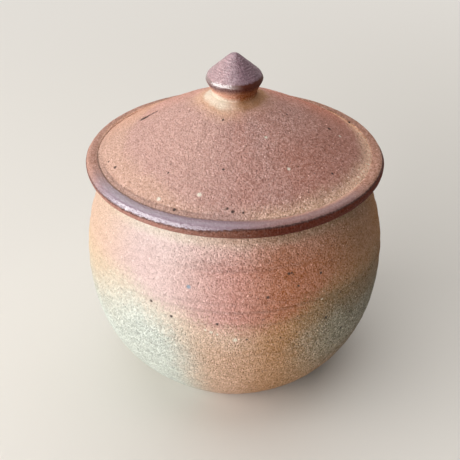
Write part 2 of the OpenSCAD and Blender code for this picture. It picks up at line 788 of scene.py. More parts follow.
@dataclass(frozen=True)
class Firing:
    """What the fire has left on the clay, with the light and shade that some finishes paint into its
    colour.

    Attributes:
        colour: Its colour.
        roughness: Its roughness.
        sandiness: How much the sand shows, where 1 is usual.
        glaze: How much of a thin ash glaze lies on it, from 0 to 1.
    """

    colour: Socket
    roughness: Feed
    sandiness: Feed
    glaze: Feed


@dataclass(frozen=True)
class Stoneware(ABC):
    """Sandy stoneware. Each finish says how the fire has coloured it, and where light and shade are
    painted into that colour; the sand and specks are shared.

    In a finish, a zone says where something shows, and how much of it. A span says where it begins and
    where it is full.

    Attributes:
        name: The material's name.
        bare_clay: Colour where the fire has not flashed the clay.
        specks: The pale grains and the iron specks that are strewn over it.
        pale_shade: How many times as bright, and as rich, a pale grain is as the clay round it.
        grain: Size of a grain of sand.
        coarse: How many times as large the coarse grains are.
        grain_tone: How much of the fine and of the coarse grains' tones shows.
        grain_swing: How far a grain's tone swings either side of 0.
        relief_shares: How much of the coarse grains' and of the drifts' relief shows.
        sand_zone: Where the sand shows, and how much of it.
        sand_contrast: How much the sand lightens and darkens the colour.
        sand_paling: How much of that contrast makes light grains paler, too.
        sand_relief: How far the sand stands out of the surface.
        mark_edge: Where a grain or pit begins and where it is full, in its own sizes from its middle.
        mark_strength: How much of its colour shows.
        roughness: Roughness of the clay where it has no gloss.
        polish: How much less rough it is where it is glossy.
        specular: Strength of the surface's reflections.
        glaze_roughness: Roughness of the thin ash glaze.
        glaze_index: How strongly that glaze bends light, and so how much it reflects.
    """

    name: str
    bare_clay: str = "#cda98b"
    specks: tuple[Specks, ...] = (
        Specks(spread=1.4, size=0.55, soft=0.25, strength=0.5),
        Specks(spread=1.9, size=0.55, soft=0.25, strength=0.65, colour="#54372d"),
        Specks(spread=9.0, size=0.85, soft=0.4, strength=0.75, colour="#41302b"),
    )
    pale_shade: Pair = (2.0, 0.7)
    grain: float = 0.45
    coarse: float = 1.9
    grain_tone: Pair = (1.15, 0.45)
    grain_swing: float = 0.7
    relief_shares: Pair = (0.5, 0.2)
    sand_zone: Zone = Zone(side=(-0.6, 0.5), strength=0.55, least=0.7)
    sand_contrast: float = 0.25
    sand_paling: float = 0.5
    sand_relief: float = 0.62
    mark_edge: Span = (0.7, 0.3)
    mark_strength: float = 0.92
    roughness: float = 0.75
    polish: float = 0.3
    specular: float = 0.35
    glaze_roughness: float = 0.18
    glaze_index: float = 1.9

    @abstractmethod
    def fired(self, bench: FinishBench) -> Firing:
        """Colour the clay as the fire has left it, with any painted light and shade.

        Args:
            bench: The material being made.

        Returns:
            The firing.
        """

    def material(self, spots: Sequence[Spot] = ()) -> bpy.types.Material:
        """Make the finish.

        Args:
            spots: The grains and pits that show one by one.

        Returns:
            The material.
        """
        bench = FinishBench(self.name)
        firing = self.fired(bench)
        tone, relief = self.sand(bench)
        sandiness = bench.times(firing.sandiness, self.sand_zone.on(bench))
        swung = bench.times(tone, sandiness)
        lighter = bench.ramp(swung, self.sand_contrast, 1.0)
        paler = bench.ramp(swung, -self.sand_paling * self.sand_contrast, 1.0)
        colour = bench.shade(firing.colour, lighter, paler)
        colour = self.strew(bench, colour, sandiness)
        colour = self.set_marks(bench, colour, spots)
        self.surface(bench, firing, colour, relief)
        return bench.material

    def surface(self, bench: FinishBench, firing: Firing, colour: Socket, relief: Socket) -> None:
        """Wire the finished colour, the gloss and the sand's relief to the shader.

        Args:
            bench: The material being made.
            firing: What the fire has left.
            colour: The finished colour.
            relief: How far the sand stands out.
        """
        shader = bench.node("ShaderNodeBsdfPrincipled")
        bench.feed(shader.inputs["Base Color"], colour)
        bench.feed(shader.inputs["Roughness"], firing.roughness)
        bench.feed(shader.inputs["Coat Weight"], firing.glaze)
        shader.inputs["Coat Roughness"].default_value = self.glaze_roughness
        shader.inputs["Coat IOR"].default_value = self.glaze_index
        shader.inputs["Specular IOR Level"].default_value = self.specular
        bump = bench.node("ShaderNodeBump")
        bump.inputs["Strength"].default_value = 1.0
        bump.inputs["Distance"].default_value = self.sand_relief * MM
        height = bench.times(relief, firing.sandiness, firing.sandiness)
        bench.feed(bump.inputs["Height"], height)
        bench.feed(shader.inputs["Normal"], bump.outputs[0])
        bench.feed(shader.inputs["Coat Normal"], bump.outputs[0])
        output = bench.node("ShaderNodeOutputMaterial")
        bench.feed(output.inputs["Surface"], shader.outputs[0])

    def sand(self, bench: FinishBench) -> tuple[Socket, Socket]:
        """Lay the sand of the clay: fine and coarse grains of many tones, in faint drifts.

        Args:
            bench: The material being made.

        Returns:
            The sand's tone, which swings either side of 0, and its relief.
        """
        fine, fine_dome = self.grit(bench, self.grain)
        coarse, coarse_dome = self.grit(bench, self.coarse * self.grain)
        drift = bench.swing(size=1.6, reach=0.4)
        fine_share, coarse_share = self.grain_tone
        tone = bench.plus(bench.times(fine, fine_share), bench.times(coarse, coarse_share), drift)
        coarse_relief, drift_relief = self.relief_shares
        raised = bench.plus(fine_dome, bench.times(coarse_dome, coarse_relief))
        return tone, bench.plus(raised, bench.times(drift, drift_relief))

    def grit(self, bench: FinishBench, size: float) -> tuple[Socket, Socket]:
        """Lay grains of one size.

        Args:
            bench: The material being made.
            size: How far across a grain is.

        Returns:
            The grains' tone, which swings either side of 0, and how far each stands out.
        """
        away, own = bench.cells(size)
        tone = bench.ramp(own[0], 2 * self.grain_swing, -self.grain_swing)
        return tone, bench.times(bench.rest(away), own[1])

    def strew(self, bench: FinishBench, colour: Socket, sandiness: Feed) -> Socket:
        """Strew pale grains and iron specks over the colour.

        Args:
            bench: The material being made.
            colour: The colour so far.
            sandiness: How much the sand shows.

        Returns:
            The colour with its grains.
        """
        for specks in self.specks:
            here = bench.times(bench.grains(specks), sandiness, specks.strength)
            over = specks.colour or bench.shade(colour, *self.pale_shade)
            colour = bench.blend(here, colour, over)
        return colour

    def set_marks(self, bench: FinishBench, colour: Socket, spots: Sequence[Spot]) -> Socket:
        """Colour the grains and pits that show one by one, with ragged edges.

        Args:
            bench: The material being made.
            colour: The colour so far.
            spots: The grains and pits.

        Returns:
            The colour with its marks.
        """
        where = bench.vector("ADD", bench.place, bench.jitter(waves=2.2, reach=0.5))
        for spot in spots:
            away = bench.vector("DISTANCE", where, tuple(spot.place))
            outer, inner = (spot.mark.size * edge for edge in self.mark_edge)
            here = bench.times(bench.step(away, outer, inner), self.mark_strength)
            colour = bench.blend(here, colour, spot.mark.kind.value)
        return colour


@dataclass(frozen=True)
class PotPlace:
    """Where a point of the pot lies, as the zones of its firing see it.

    Attributes:
        halfway: How far round from the front it is, as the sine of half the azimuth.
        drift: How far the zones' edges wander there.
        stipple: The same, with a fine stipple on it.
        level: Its height, moved by that stipple.
    """

    halfway: Socket
    drift: Socket
    stipple: Socket
    level: Socket


@dataclass(frozen=True)
class PotFinish(Stoneware):
    """The pot's flashing: a rose shield in front, ochre below it, and ash low down on both sides, with
    painted shade on its right side and in its throwing grooves.

    How far round a place is, is given as the sine of half its azimuth.

    Attributes:
        shield: Colours of the shield.
        ochre: Colours of the band below it.
        ash: Colours of the ash.
        buff: Colours of the band under the lid.
        collar: Colours of the strip next to the lid.
        streak: Colour of the pale streak along the shield's lower edge.
        olive: Colour along the upper edge of the ash on the right.
        shield_low: Height of the shield's lower edge in front.
        shield_rise: How steeply that edge climbs to the sides.
        shield_round: How far round it goes on climbing.
        shield_edge: Heights over that edge at which the ochre turns to rose.
        streak_edges: Heights over that edge at the lower and at the upper side of the streak.
        streak_round: How far round the streak goes.
        streak_zone: The streak from side to side.
        buff_heights: Heights of the band under the lid.
        collar_zone: The strip next to the lid.
        collar_drift: How much of the zones' wandering that strip follows.
        ash_heights: Heights of the ash, from above.
        ash_start: How far round it begins.
        ash_run: How much further round it is full.
        ash_turn: How much later it begins on the right, and sooner on the left.
        ash_stipple: How much its beginning is stippled.
        ash_round: How far round its upper edge goes on climbing.
        ash_slant: How steeply that edge climbs.
        ash_drop: How much lower that edge lies on the right.
        wear: Wear of the ash, low on the right.
        olive_zone: The olive part of that edge.
        right_painted_shade: Painted shade, which darkens the right side.
        left_darkening: How much darker the left end is, outside the ash.
        tints: A haze of ash high on the right, and warm tints at the left end and at the right end.
        lines: Height and darkness of each fine line of painted shade in the grooves that the throwing has
            left.
        line_width: Distances from such a line.
        line_middle: How far to the right the lines show best.
        line_fade: Distances from there at which they show.
        ash_sand: How much more of the sand shows in the ash.
        low_sand: How much more of it shows low down.
        left_smooth: How much less of it shows on the left.
    """

    name: str = "flashed_pot_stoneware"
    shield: Tones = Tones("#d8bcb6", "#d29b8f", "#be7c5c")
    ochre: Tones = Tones("#d8bfa8", "#d9b094", "#c29064")
    ash: Tones = Tones("#dce1d6", "#cdc8b7", "#c3b89e")
    buff: Tones = Tones("#dec7c2", "#e5c0b6", "#cc9780")
    collar: Tones = Tones("#dad3c0", "#d6b8a2", "#a9947b")
    streak: str = "#e3c9b4"
    olive: str = "#8a6c42"
    shield_low: float = 47.4
    shield_rise: float = 105.0
    shield_round: float = 0.35
    shield_edge: Span = (-6.0, 5.0)
    streak_edges: tuple[Span, Span] = ((-12.0, -4.0), (3.0, -3.0))
    streak_round: Span = (0.3, 0.15)
    streak_zone: Zone = Zone(side=(0.2, -0.05), strength=0.4)
    buff_heights: Span = (66.0, 78.0)
    collar_zone: Zone = Zone(level=(73.5, 77.0), strength=0.6)
    collar_drift: float = 0.4
    ash_heights: Span = (65.0, 42.0)
    ash_start: float = 0.083
    ash_run: float = 0.22
    ash_turn: float = 0.1
    ash_stipple: float = 0.008
    ash_round: float = 0.33
    ash_slant: float = 57.0
    ash_drop: Zone = Zone(side=(0.4, 0.8), strength=3.5)
    wear: Zone = Zone(side=(0.1, 0.5), level=(34.0, 12.0), strength=0.75)
    olive_zone: Zone = Zone(side=(0.25, 0.6), strength=2.0)
    # Painted shade that darkens the right side
    right_painted_shade: Zone = Zone(side=(0.45, 0.95), strength=0.33)
    left_darkening: Zone = Zone(side=(-0.4, -0.85), strength=0.1)
    tints: tuple[Tint, ...] = (
        Tint("#a88f66", Zone(side=(0.4, 0.85), level=(54.0, 64.0), strength=0.35)),
        Tint("#d8b083", Zone(side=(-0.6, -0.98), level=(30.0, 52.0), strength=0.5)),
        Tint("#94622c", Zone(side=(0.9, 0.995), level=(40.0, 54.0), strength=0.8)),
    )
    # Dark lines of painted shade in the throwing's fine grooves
    lines: tuple[Pair, ...] = (
        (54.2, 0.24), (57.0, 0.11), (49.2, 0.14), (68.3, 0.14), (70.6, 0.08), (36.0, 0.1),
    )
    line_width: Span = (1.1, 0.1)
    line_middle: float = 0.06
    line_fade: Span = (0.6, 0.3)
    ash_sand: Zone = Zone(side=(0.0, 0.5), strength=0.4, least=0.4)
    low_sand: Zone = Zone(level=(50.0, 40.0), strength=0.15)
    left_smooth: Zone = Zone(side=(-0.1, -0.6), strength=0.25)

    def fired(self, bench: FinishBench) -> Firing:
        """Colour the pot zone by zone.

        Args:
            bench: The material being made.

        Returns:
            The firing.
        """
        place = self.place(bench)
        colour = self.shielded(bench, place)
        colour = self.banded(bench, place, colour)
        below, ash = self.ashes(bench, place)
        colour = bench.blend(ash, colour, self.ash.on(bench))
        edging = bench.times(below, bench.rest(below), self.olive_zone.on(bench))
        colour = bench.blend(edging, colour, self.olive)
        colour = self.darken_sides(bench, place, colour, ash)
        # Painted shade in the throwing grooves
        colour = self.paint_groove_shade(bench, colour)
        colour = bench.blend(bench.own("bare"), colour, self.bare_clay)
        return Firing(colour, self.roughness, self.sandy(bench, place, ash), glaze=0.0)

    def place(self, bench: FinishBench) -> PotPlace:
        """Work out where a point lies.

        Args:
            bench: The material being made.

        Returns:
            The point's place.
        """
        halfway = bench.math("SQRT", bench.ramp(bench.front, -0.5, 0.5))
        drift = bench.plus(bench.swing(size=26.0, reach=4.0), bench.swing(size=5.0, reach=2.5))
        stipple = bench.plus(drift, bench.swing(size=0.9, reach=5.0))
        return PotPlace(halfway, drift, stipple, bench.plus(bench.height, stipple))

    def shielded(self, bench: FinishBench, place: PotPlace) -> Socket:
        """Colour the shield, the ochre below it and the pale streak between them.

        Args:
            bench: The material being made.
            place: Where the point lies.

        Returns:
            The colour.
        """
        near = bench.math("MINIMUM", place.halfway, self.shield_round)
        edge = bench.ramp(bench.times(near, near), self.shield_rise, self.shield_low)
        over = bench.math("SUBTRACT", place.level, edge)
        rose = bench.step(over, *self.shield_edge)
        colour = bench.blend(rose, self.ochre.on(bench), self.shield.on(bench))
        across = [bench.step(over, *ends) for ends in self.streak_edges]
        along = bench.step(place.halfway, *self.streak_round)
        streak = bench.times(*across, along, self.streak_zone.on(bench))
        return bench.blend(streak, colour, self.streak)

    def banded(self, bench: FinishBench, place: PotPlace, colour: Socket) -> Socket:
        """Colour the band under the lid and the strip next to it.

        Args:
            bench: The material being made.
            place: Where the point lies.
            colour: The colour so far.

        Returns:
            The colour with both.
        """
        under_lid = bench.step(bench.plus(bench.height, place.drift), *self.buff_heights)
        colour = bench.blend(under_lid, colour, self.buff.on(bench))
        level = bench.ramp(place.drift, self.collar_drift, bench.height)
        return bench.blend(self.collar_zone.on(bench, level), colour, self.collar.on(bench))

    def ashes(self, bench: FinishBench, place: PotPlace) -> tuple[Socket, Socket]:
        """Lay the ash low down on both sides, worn off at the bottom on the right.

        Args:
            bench: The material being made.
            place: Where the point lies.

        Returns:
            How far the point is below the ash's upper edge, and how much ash there is, both from 0 to 1.
        """
        start = bench.ramp(bench.side, self.ash_turn, self.ash_start)
        reached = bench.ramp(place.stipple, -self.ash_stipple, place.halfway)
        begun = bench.math("SUBTRACT", reached, start)
        round_far = bench.step(bench.math("DIVIDE", begun, self.ash_run), 0.0, 1.0)
        short = bench.math("SUBTRACT", self.ash_round, place.halfway)
        slanted = bench.ramp(bench.math("MAXIMUM", short, 0.0), self.ash_slant, place.level)
        slanted = bench.plus(slanted, self.ash_drop.on(bench))
        below = bench.step(slanted, *self.ash_heights)
        kept = bench.rest(self.wear.on(bench, place.level))
        return below, bench.times(round_far, below, kept)

    def darken_sides(self, bench: FinishBench, place: PotPlace, colour: Socket, ash: Socket) -> Socket:
        """Darken the right side by painted shade and the left end a little, and lay the thin tints over
        them.

        Args:
            bench: The material being made.
            place: Where the point lies.
            colour: The colour so far.
            ash: How much ash there is.

        Returns:
            The darkened and tinted colour.
        """
        # Painted shade on the right side, and a little darkening at the left end outside the ash
        left = bench.times(self.left_darkening.on(bench), bench.rest(ash))
        darker = bench.plus(self.right_painted_shade.on(bench), left)
        colour = bench.shade(colour, bench.rest(darker))
        for tint in self.tints:
            colour = bench.blend(tint.zone.on(bench, place.level), colour, tint.colour)
        return colour

    def paint_groove_shade(self, bench: FinishBench, colour: Socket) -> Socket:
        """Paint shade into the fine grooves of the throwing, as lines that come and go round the pot.

        Args:
            bench: The material being made.
            colour: The colour so far.

        Returns:
            The colour with its painted groove shade.
        """
        wavy = bench.plus(bench.height, bench.swing(size=30.0, reach=1.2))
        shown = bench.line(bench.side, self.line_middle, self.line_fade)
        shown = bench.math("ADD", bench.swing(size=22.0, reach=1.2), shown, clamp=True)
        for height, darkness in self.lines:
            here = bench.times(bench.line(wavy, height, self.line_width), shown)
            colour = bench.shade(colour, bench.ramp(here, -darkness, 1.0))
        return colour

    def sandy(self, bench: FinishBench, place: PotPlace, ash: Socket) -> Socket:
        """Say how much the sand shows: more in the ash and low down, and less on the left.

        Args:
            bench: The material being made.
            place: Where the point lies.
            ash: How much ash there is.

        Returns:
            How much it shows.
        """
        in_ash = bench.times(ash, self.ash_sand.on(bench))
        plain = bench.rest(self.left_smooth.on(bench))
        return bench.plus(in_ash, self.low_sand.on(bench, place.level), plain)


@dataclass(frozen=True)
class LidPlace:
    """Where a point of the lid lies, as the zones of its firing see it.

    Attributes:
        reach: Its distance from the axis, moved by a slow drift.
        fringe: That distance, moved only a little.
        rim_fringe: The same, moved out at the back on the left as the rim's beginning is.
        climbed: Its height, lowered where the colour of the rim's lower half climbs.
        back_left: How much it is at the back on the left.
        facing: How much it is in front, where the rim is glossy.
    """

    reach: Socket
    fringe: Socket
    rim_fringe: Socket
    climbed: Socket
    back_left: Socket
    facing: Socket


@dataclass(frozen=True)
class LidFinish(Stoneware):
    """The lid's flashing: rose brown on top, paler at its edge and round the knob, and a glossy iron rim.

    Attributes:
        top: Colours of the top.
        edge: Colours of the top near the rim.
        halo: Colours round the knob.
        slip: Colours of the slip at the knob's foot.
        crease_band: Colour of the darker band along the crease on the left.
        crease: Colour of the fine dark lines: the painted shade in the crease, and the line inside it on
            the left.
        iron: Colours of the rolled rim in front, where it is glossy: iron brown, with a lavender painted
            sheen.
        rim_clay: Colours of the rolled rim elsewhere.
        iron_under: Colours of the rim's lower half: red-brown iron, partly darkened by painted shade, as
            that half faces down.
        rim_edge_shade: Colour of the painted shade in a fine line between the two, under the rim's sharp
            outer edge.
        back_left: Where the pale edge and the rim's beginning are shifted at the back.
        front_left: Where the darker band and the fine line inside the crease show.
        facing: Where the rim is glossy.
        edge_radii: Radii of the top's paler edge.
        left_edge: How much further in that edge comes on the left.
        back_edge: How much further in it comes at the back on the left.
        top_turn: How far the top's colour on the right is held back.
        far: The back of the top, which is painted lighter, as light falling on it.
        far_shade: How much lighter the painted light makes the back, and how much richer it is.
        crown: How much lighter and paler the top is high on the right.
        right_end: How many times as light the edge is painted at the right end, as light falling on its
            upturned band.
        knob_foot: Radius of the knob's foot.
        halo_width: Distances of the halo from that foot.
        halo_smooth: How much less sand shows in the halo.
        slip_width: Distances of the slip from that foot.
        seam: Radius of the fine line inside the crease on the left.
        seam_width: Distances from that line.
        seam_strength: How much of that line shows.
        crease_band_edge: Distances of the darker band from that line.
        crease_band_strength: How much of the darker band shows.
        rim_in: Radius where the rim begins.
        rim_edge: Distances of its colour from there.
        rim_drift: How much further out it begins at the back on the left.
        fringe_drift: How much of the zones' wandering the edges near the rim follow.
        rim_middle: Height of the rim's widest circle.
        lower_edge: Heights of the lower half's colour over that circle.
        iron_climb: How much higher that colour climbs in front and on the right.
        thin_width: Distances of the thin iron from the rim's beginning.
        thin_iron: How thin it is there, on the right.
        edge_shade_up: How far over the widest circle that line of painted shade lies.
        edge_shade_zone: How much of that painted shade shows.
        line_width: Distances from a fine line of the rim.
        crease_in: How far inside the rim's beginning the crease's line lies.
        crease_sides: The crease's line from side to side.
        crease_front: How much of it shows from back to front.
        gloss_smooth: How much less sand shows where the rim is glossy.
        glaze_zone: How much of the thin glaze lies on the glossy rim.
    """

    name: str = "flashed_lid_stoneware"
    top: Tones = Tones("#cca296", "#c4978c", "#c48b7b")
    edge: Tones = Tones("#d3aa97", "#bf988f", "#e2b89e")
    halo: Tones = Tones("#dcb392", "#d8a98c", "#c69783")
    slip: Tones = Tones("#e3d3bf", "#dfbba2", "#b98864")
    crease_band: str = "#8a6a68"
    crease: str = "#4a2f2b"
    iron: Tones = Tones("#7b6072", "#8a707b", "#906863")
    rim_clay: Tones = Tones("#bf9180", "#b88a79", "#c6937e")
    iron_under: Tones = Tones("#ac7b6e", "#805242", "#5d230f")
    rim_edge_shade: str = "#4a2d28"
    specular: float = 0.2
    glaze_index: float = 2.1
    back_left: Zone = Zone(side=(0.0, -0.4), front=(0.25, -0.35))
    front_left: Zone = Zone(side=(0.1, -0.35), front=(0.05, 0.45))
    facing: Zone = Zone(side=(0.95, 0.7), front=(0.2, 0.65))
    edge_radii: Span = (41.5, 47.2)
    left_edge: Zone = Zone(side=(-0.3, -0.75), strength=5.0)
    back_edge: float = 6.0
    top_turn: Zone = Zone(side=(0.0, 0.4), strength=0.3)
    far: Zone = Zone(front=(0.1, -0.7))
    far_shade: Pair = (0.24, 0.18)
    crown: Zone = Zone(side=(0.1, 0.5), level=(34.0, 22.0), strength=0.12)
    right_end: Zone = Zone(side=(0.6, 0.9), level=(43.0, 47.0), strength=0.28, least=1.0)
    knob_foot: float = KNOB_FOOT
    halo_width: Span = (9.0, 0.0)
    halo_smooth: float = 0.6
    slip_width: Span = (3.4, 0.8)
    seam: float = 46.4
    seam_width: Span = (0.4, 0.1)
    seam_strength: float = 0.25
    crease_band_edge: Span = (-0.6, 0.3)
    crease_band_strength: float = 0.36
    rim_in: float = 48.1
    rim_edge: Span = (-0.3, 0.5)
    rim_drift: float = 1.2
    fringe_drift: float = 0.1
    rim_middle: float = LIP_HEIGHT + RIM_HEIGHT
    lower_edge: Span = (0.5, 0.0)
    iron_climb: Zone = Zone(side=(-0.25, 0.05), strength=0.9)
    thin_width: Span = (1.9, 0.1)
    thin_iron: Zone = Zone(side=(-0.05, 0.4), strength=0.85)
    edge_shade_up: float = 0.1
    line_width: Span = (0.5, 0.1)
    edge_shade_zone: Zone = Zone(side=(0.0, 0.3), strength=0.25, least=0.6)
    crease_in: float = 0.1
    crease_sides: Zone = Zone(side=(0.8, 0.3))
    crease_front: Zone = Zone(front=(0.1, 0.5), strength=0.2, least=0.12)
    gloss_smooth: float = 0.5
    glaze_zone: Zone = Zone(side=(0.3, -0.75), strength=0.78, least=0.2)

    def fired(self, bench: FinishBench) -> Firing:
        """Colour the top, the halo, the rim and the bare underside.

        Args:
            bench: The material being made.

        Returns:
            The firing.
        """
        place = self.place(bench)
        halo = bench.step_from(place.reach, self.knob_foot, self.halo_width)
        rim = bench.step_from(place.rim_fringe, self.rim_in, self.rim_edge)
        lower = bench.step_from(place.climbed, self.rim_middle, self.lower_edge)
        bare = bench.own("bare")

        colour = bench.blend(halo, self.topped(bench, place), self.halo.on(bench))
        slip = bench.step_from(place.reach, self.knob_foot, self.slip_width)
        colour = bench.blend(slip, colour, self.slip.on(bench))
        colour = self.seamed(bench, place, colour)
        colour = bench.blend(rim, colour, self.rolled(bench, place, lower))
        # Painted shade in the crease
        colour = bench.blend(self.crease_shade(bench, place), colour, self.crease)
        colour = bench.blend(bare, colour, self.bare_clay)

        upper = bench.rest(bench.math("MAXIMUM", bare, lower))
        gloss = bench.times(rim, place.facing, upper)
        roughness = bench.ramp(gloss, -self.polish, self.roughness)
        on_rim = bench.times(gloss, self.gloss_smooth)
        smooth = bench.math("MAXIMUM", bench.times(halo, self.halo_smooth), on_rim)
        glaze = bench.times(gloss, self.glaze_zone.on(bench))
        return Firing(colour, roughness, bench.rest(smooth), glaze)

    def place(self, bench: FinishBench) -> LidPlace:
        """Work out where a point lies.

        Args:
            bench: The material being made.

        Returns:
            The point's place.
        """
        drift = bench.plus(bench.swing(size=18.0, reach=3.0), bench.swing(size=3.0, reach=1.5))
        uneven = bench.plus(bench.radius, bench.swing(size=0.8, reach=0.5))
        fringe = bench.ramp(drift, self.fringe_drift, uneven)
        back_left = self.back_left.on(bench)
        ragged = bench.plus(bench.height, bench.swing(size=0.6, reach=0.5))
        return LidPlace(
            reach=bench.plus(bench.radius, drift),
            fringe=fringe,
            rim_fringe=bench.ramp(back_left, -self.rim_drift, fringe),
            climbed=bench.math("SUBTRACT", ragged, self.iron_climb.on(bench)),
            back_left=back_left,
            facing=self.facing.on(bench),
        )

    def topped(self, bench: FinishBench, place: LidPlace) -> Socket:
        """Colour the top, paler towards the rim, painted lighter at the back and at the right end of its
        edge, and lighter high on the right.

        Args:
            bench: The material being made.
            place: Where the point lies.

        Returns:
            The colour.
        """
        at_back = bench.times(place.back_left, self.back_edge)
        spread = bench.plus(place.reach, self.left_edge.on(bench), at_back)
        across = bench.math("SUBTRACT", bench.side, self.top_turn.on(bench))
        outer = bench.step(spread, *self.edge_radii)
        colour = bench.blend(outer, self.top.on(bench, across), self.edge.on(bench))
        # Painted light on the back of the top; the top is also lighter and paler high on the right
        far = self.far.on(bench)
        far_light, far_rich = self.far_shade
        crown = self.crown.on(bench, place.reach)
        lighter = bench.plus(bench.times(far, far_light), crown, 1.0)
        richer = bench.ramp(far, far_rich, bench.rest(crown))
        colour = bench.shade(colour, lighter, richer)
        # Painted light on the right end of the edge
        return bench.shade(colour, self.right_end.on(bench, spread))

    def seamed(self, bench: FinishBench, place: LidPlace, colour: Socket) -> Socket:
        """Darken the band along the crease, and draw the fine line inside it, in front on the left.

        Args:
            bench: The material being made.
            place: Where the point lies.
            colour: The colour so far.

        Returns:
            The colour with both.
        """
        shown = self.front_left.on(bench)
        crease_band = bench.step_from(place.fringe, self.seam, self.crease_band_edge)
        colour = bench.blend(bench.times(crease_band, shown, self.crease_band_strength), colour, self.crease_band)
        seam = bench.line(place.fringe, self.seam, self.seam_width)
        return bench.blend(bench.times(seam, shown, self.seam_strength), colour, self.crease)

    def rolled(self, bench: FinishBench, place: LidPlace, lower: Socket) -> Socket:
        """Colour the rolled rim: iron with a painted sheen above where it faces the front, and iron partly
        darkened by painted shade below.

        Args:
            bench: The material being made.
            place: Where the point lies.
            lower: How much it is in the rim's lower half.

        Returns:
            The rim's colour.
        """
        inner = bench.step_from(place.rim_fringe, self.rim_in, self.thin_width)
        thinned = bench.times(inner, self.thin_iron.on(bench))
        ironed = bench.times(place.facing, bench.rest(thinned))
        # The iron's lavender is partly a painted sheen
        colour = bench.blend(ironed, self.rim_clay.on(bench), self.iron.on(bench))
        # The lower half's dark colour is partly painted shade
        colour = bench.blend(lower, colour, self.iron_under.on(bench))
        # Painted shade along the fine line under the rim's outer edge
        line = bench.line(place.climbed, self.rim_middle + self.edge_shade_up, self.line_width)
        return bench.blend(bench.times(line, self.edge_shade_zone.on(bench)), colour, self.rim_edge_shade)

    def crease_shade(self, bench: FinishBench, place: LidPlace) -> Socket:
        """Paint shade in the crease as a fine line, strongest in front and gone on the right, where the
        crease faces the light.

        Args:
            bench: The material being made.
            place: Where the point lies.

        Returns:
            How much of the painted shade there is.
        """
        line = bench.line(place.rim_fringe, self.rim_in - self.crease_in, self.line_width)
        return bench.times(line, self.crease_sides.on(bench), self.crease_front.on(bench))


@dataclass(frozen=True)
class KnobFinish(Stoneware):
    """The knob's flashing: iron brown on the cone, darker round its edge, and pale where it joins the lid.

    Attributes:
        iron: Colours of the cone.
        dark_iron: Colours of the edge and of the side just below it.
        neck: Colours of the side further down.
        slip: Colours of the join with the lid.
        edge_radius: Radius of the widest circle.
        foot_height: Height of the join.
        edge_height: Height of the widest circle.
        neck_rise: Heights over the join at which the slip gives way to the neck.
        slip_climb: Where the slip climbs higher, and how far.
        dark_rise: Heights over the join at which the dark iron sets in.
        gloss_rise: Heights over the widest circle at which the gloss sets in.
        cone_rise: Heights over the widest circle at which the cone's colour sets in.
        line_contrast: How much the turning lines lighten and darken the cone.
        line_squeeze: How the lines' noise is squeezed across, which draws it out round the cone.
        sand_plain: How much of the sand shows below the edge.
        gloss_smooth: How much less of it shows where the knob is glossy.
        cone_sand: How much more of it shows on the cone.
        glaze_zone: Where the thin glaze lies.
        cone_dull: How much less of that glaze lies on the cone.
    """

    name: str = "flashed_knob_stoneware"
    iron: Tones = Tones("#b08f92", "#a0828a", "#8c7079")
    dark_iron: Tones = Tones("#7e6260", "#74524d", "#55291f")
    neck: Tones = Tones("#d3a08a", "#bf8a72", "#8e5434")
    slip: Tones = Tones("#e3d3bf", "#e8cdb8", "#a97650")
    roughness: float = 0.7
    specular: float = 0.1
    glaze_index: float = 2.1
    edge_radius: float = KNOB_RADIUS
    foot_height: float = LAND_HEIGHT
    edge_height: float = LAND_HEIGHT + KNOB_EDGE
    neck_rise: Span = (0.9, 2.8)
    slip_climb: Zone = Zone(side=(-0.2, -0.7), strength=1.1)
    dark_rise: Span = (3.4, 6.2)
    gloss_rise: Span = (-0.5, 0.3)
    cone_rise: Span = (0.9, 1.6)
    line_contrast: float = 0.85
    line_squeeze: tuple[float, float, float] = (0.4, 0.4, 1.0)
    sand_plain: float = 0.8
    gloss_smooth: float = 0.55
    cone_sand: float = 0.45
    glaze_zone: Zone = Zone(side=(0.35, -0.1))
    cone_dull: float = 0.6

    def fired(self, bench: FinishBench) -> Firing:
        """Colour the knob from its foot to its tip.

        Args:
            bench: The material being made.

        Returns:
            The firing.
        """
        drift = bench.plus(bench.swing(size=4.0, reach=0.5), bench.swing(size=1.0, reach=0.3))
        level = bench.plus(bench.height, drift)
        slipped = bench.math("SUBTRACT", level, self.slip_climb.on(bench))
        necked = bench.step_from(slipped, self.foot_height, self.neck_rise)
        colour = bench.blend(necked, self.slip.on(bench), self.neck.on(bench))
        dark = bench.step_from(level, self.foot_height, self.dark_rise)
        colour = bench.blend(dark, colour, self.dark_iron.on(bench))
        cone = bench.step_from(level, self.edge_height, self.cone_rise)
        colour = bench.blend(cone, colour, self.turned(bench))

        gloss = bench.step_from(level, self.edge_height, self.gloss_rise)
        roughness = bench.ramp(gloss, -self.polish, self.roughness)
        sandiness = bench.ramp(gloss, -self.gloss_smooth, self.sand_plain)
        sandiness = bench.ramp(cone, self.cone_sand, sandiness)
        bright = bench.ramp(cone, -self.cone_dull, 1.0)
        glaze = bench.times(gloss, self.glaze_zone.on(bench), bright)
        return Firing(colour, roughness, sandiness, glaze)

    def turned(self, bench: FinishBench) -> Socket:
        """Colour the cone, with the broken lines of its turning.

        Args:
            bench: The material being made.

        Returns:
            The colour.
        """
        colour = self.iron.on(bench, bench.math("DIVIDE", bench.x, self.edge_radius))
        squeezed = bench.vector("MULTIPLY", bench.place, self.line_squeeze)
        lines = bench.swing(size=0.55, reach=0.6, where=squeezed)
        return bench.shade(colour, bench.ramp(lines, self.line_contrast, 1.0))


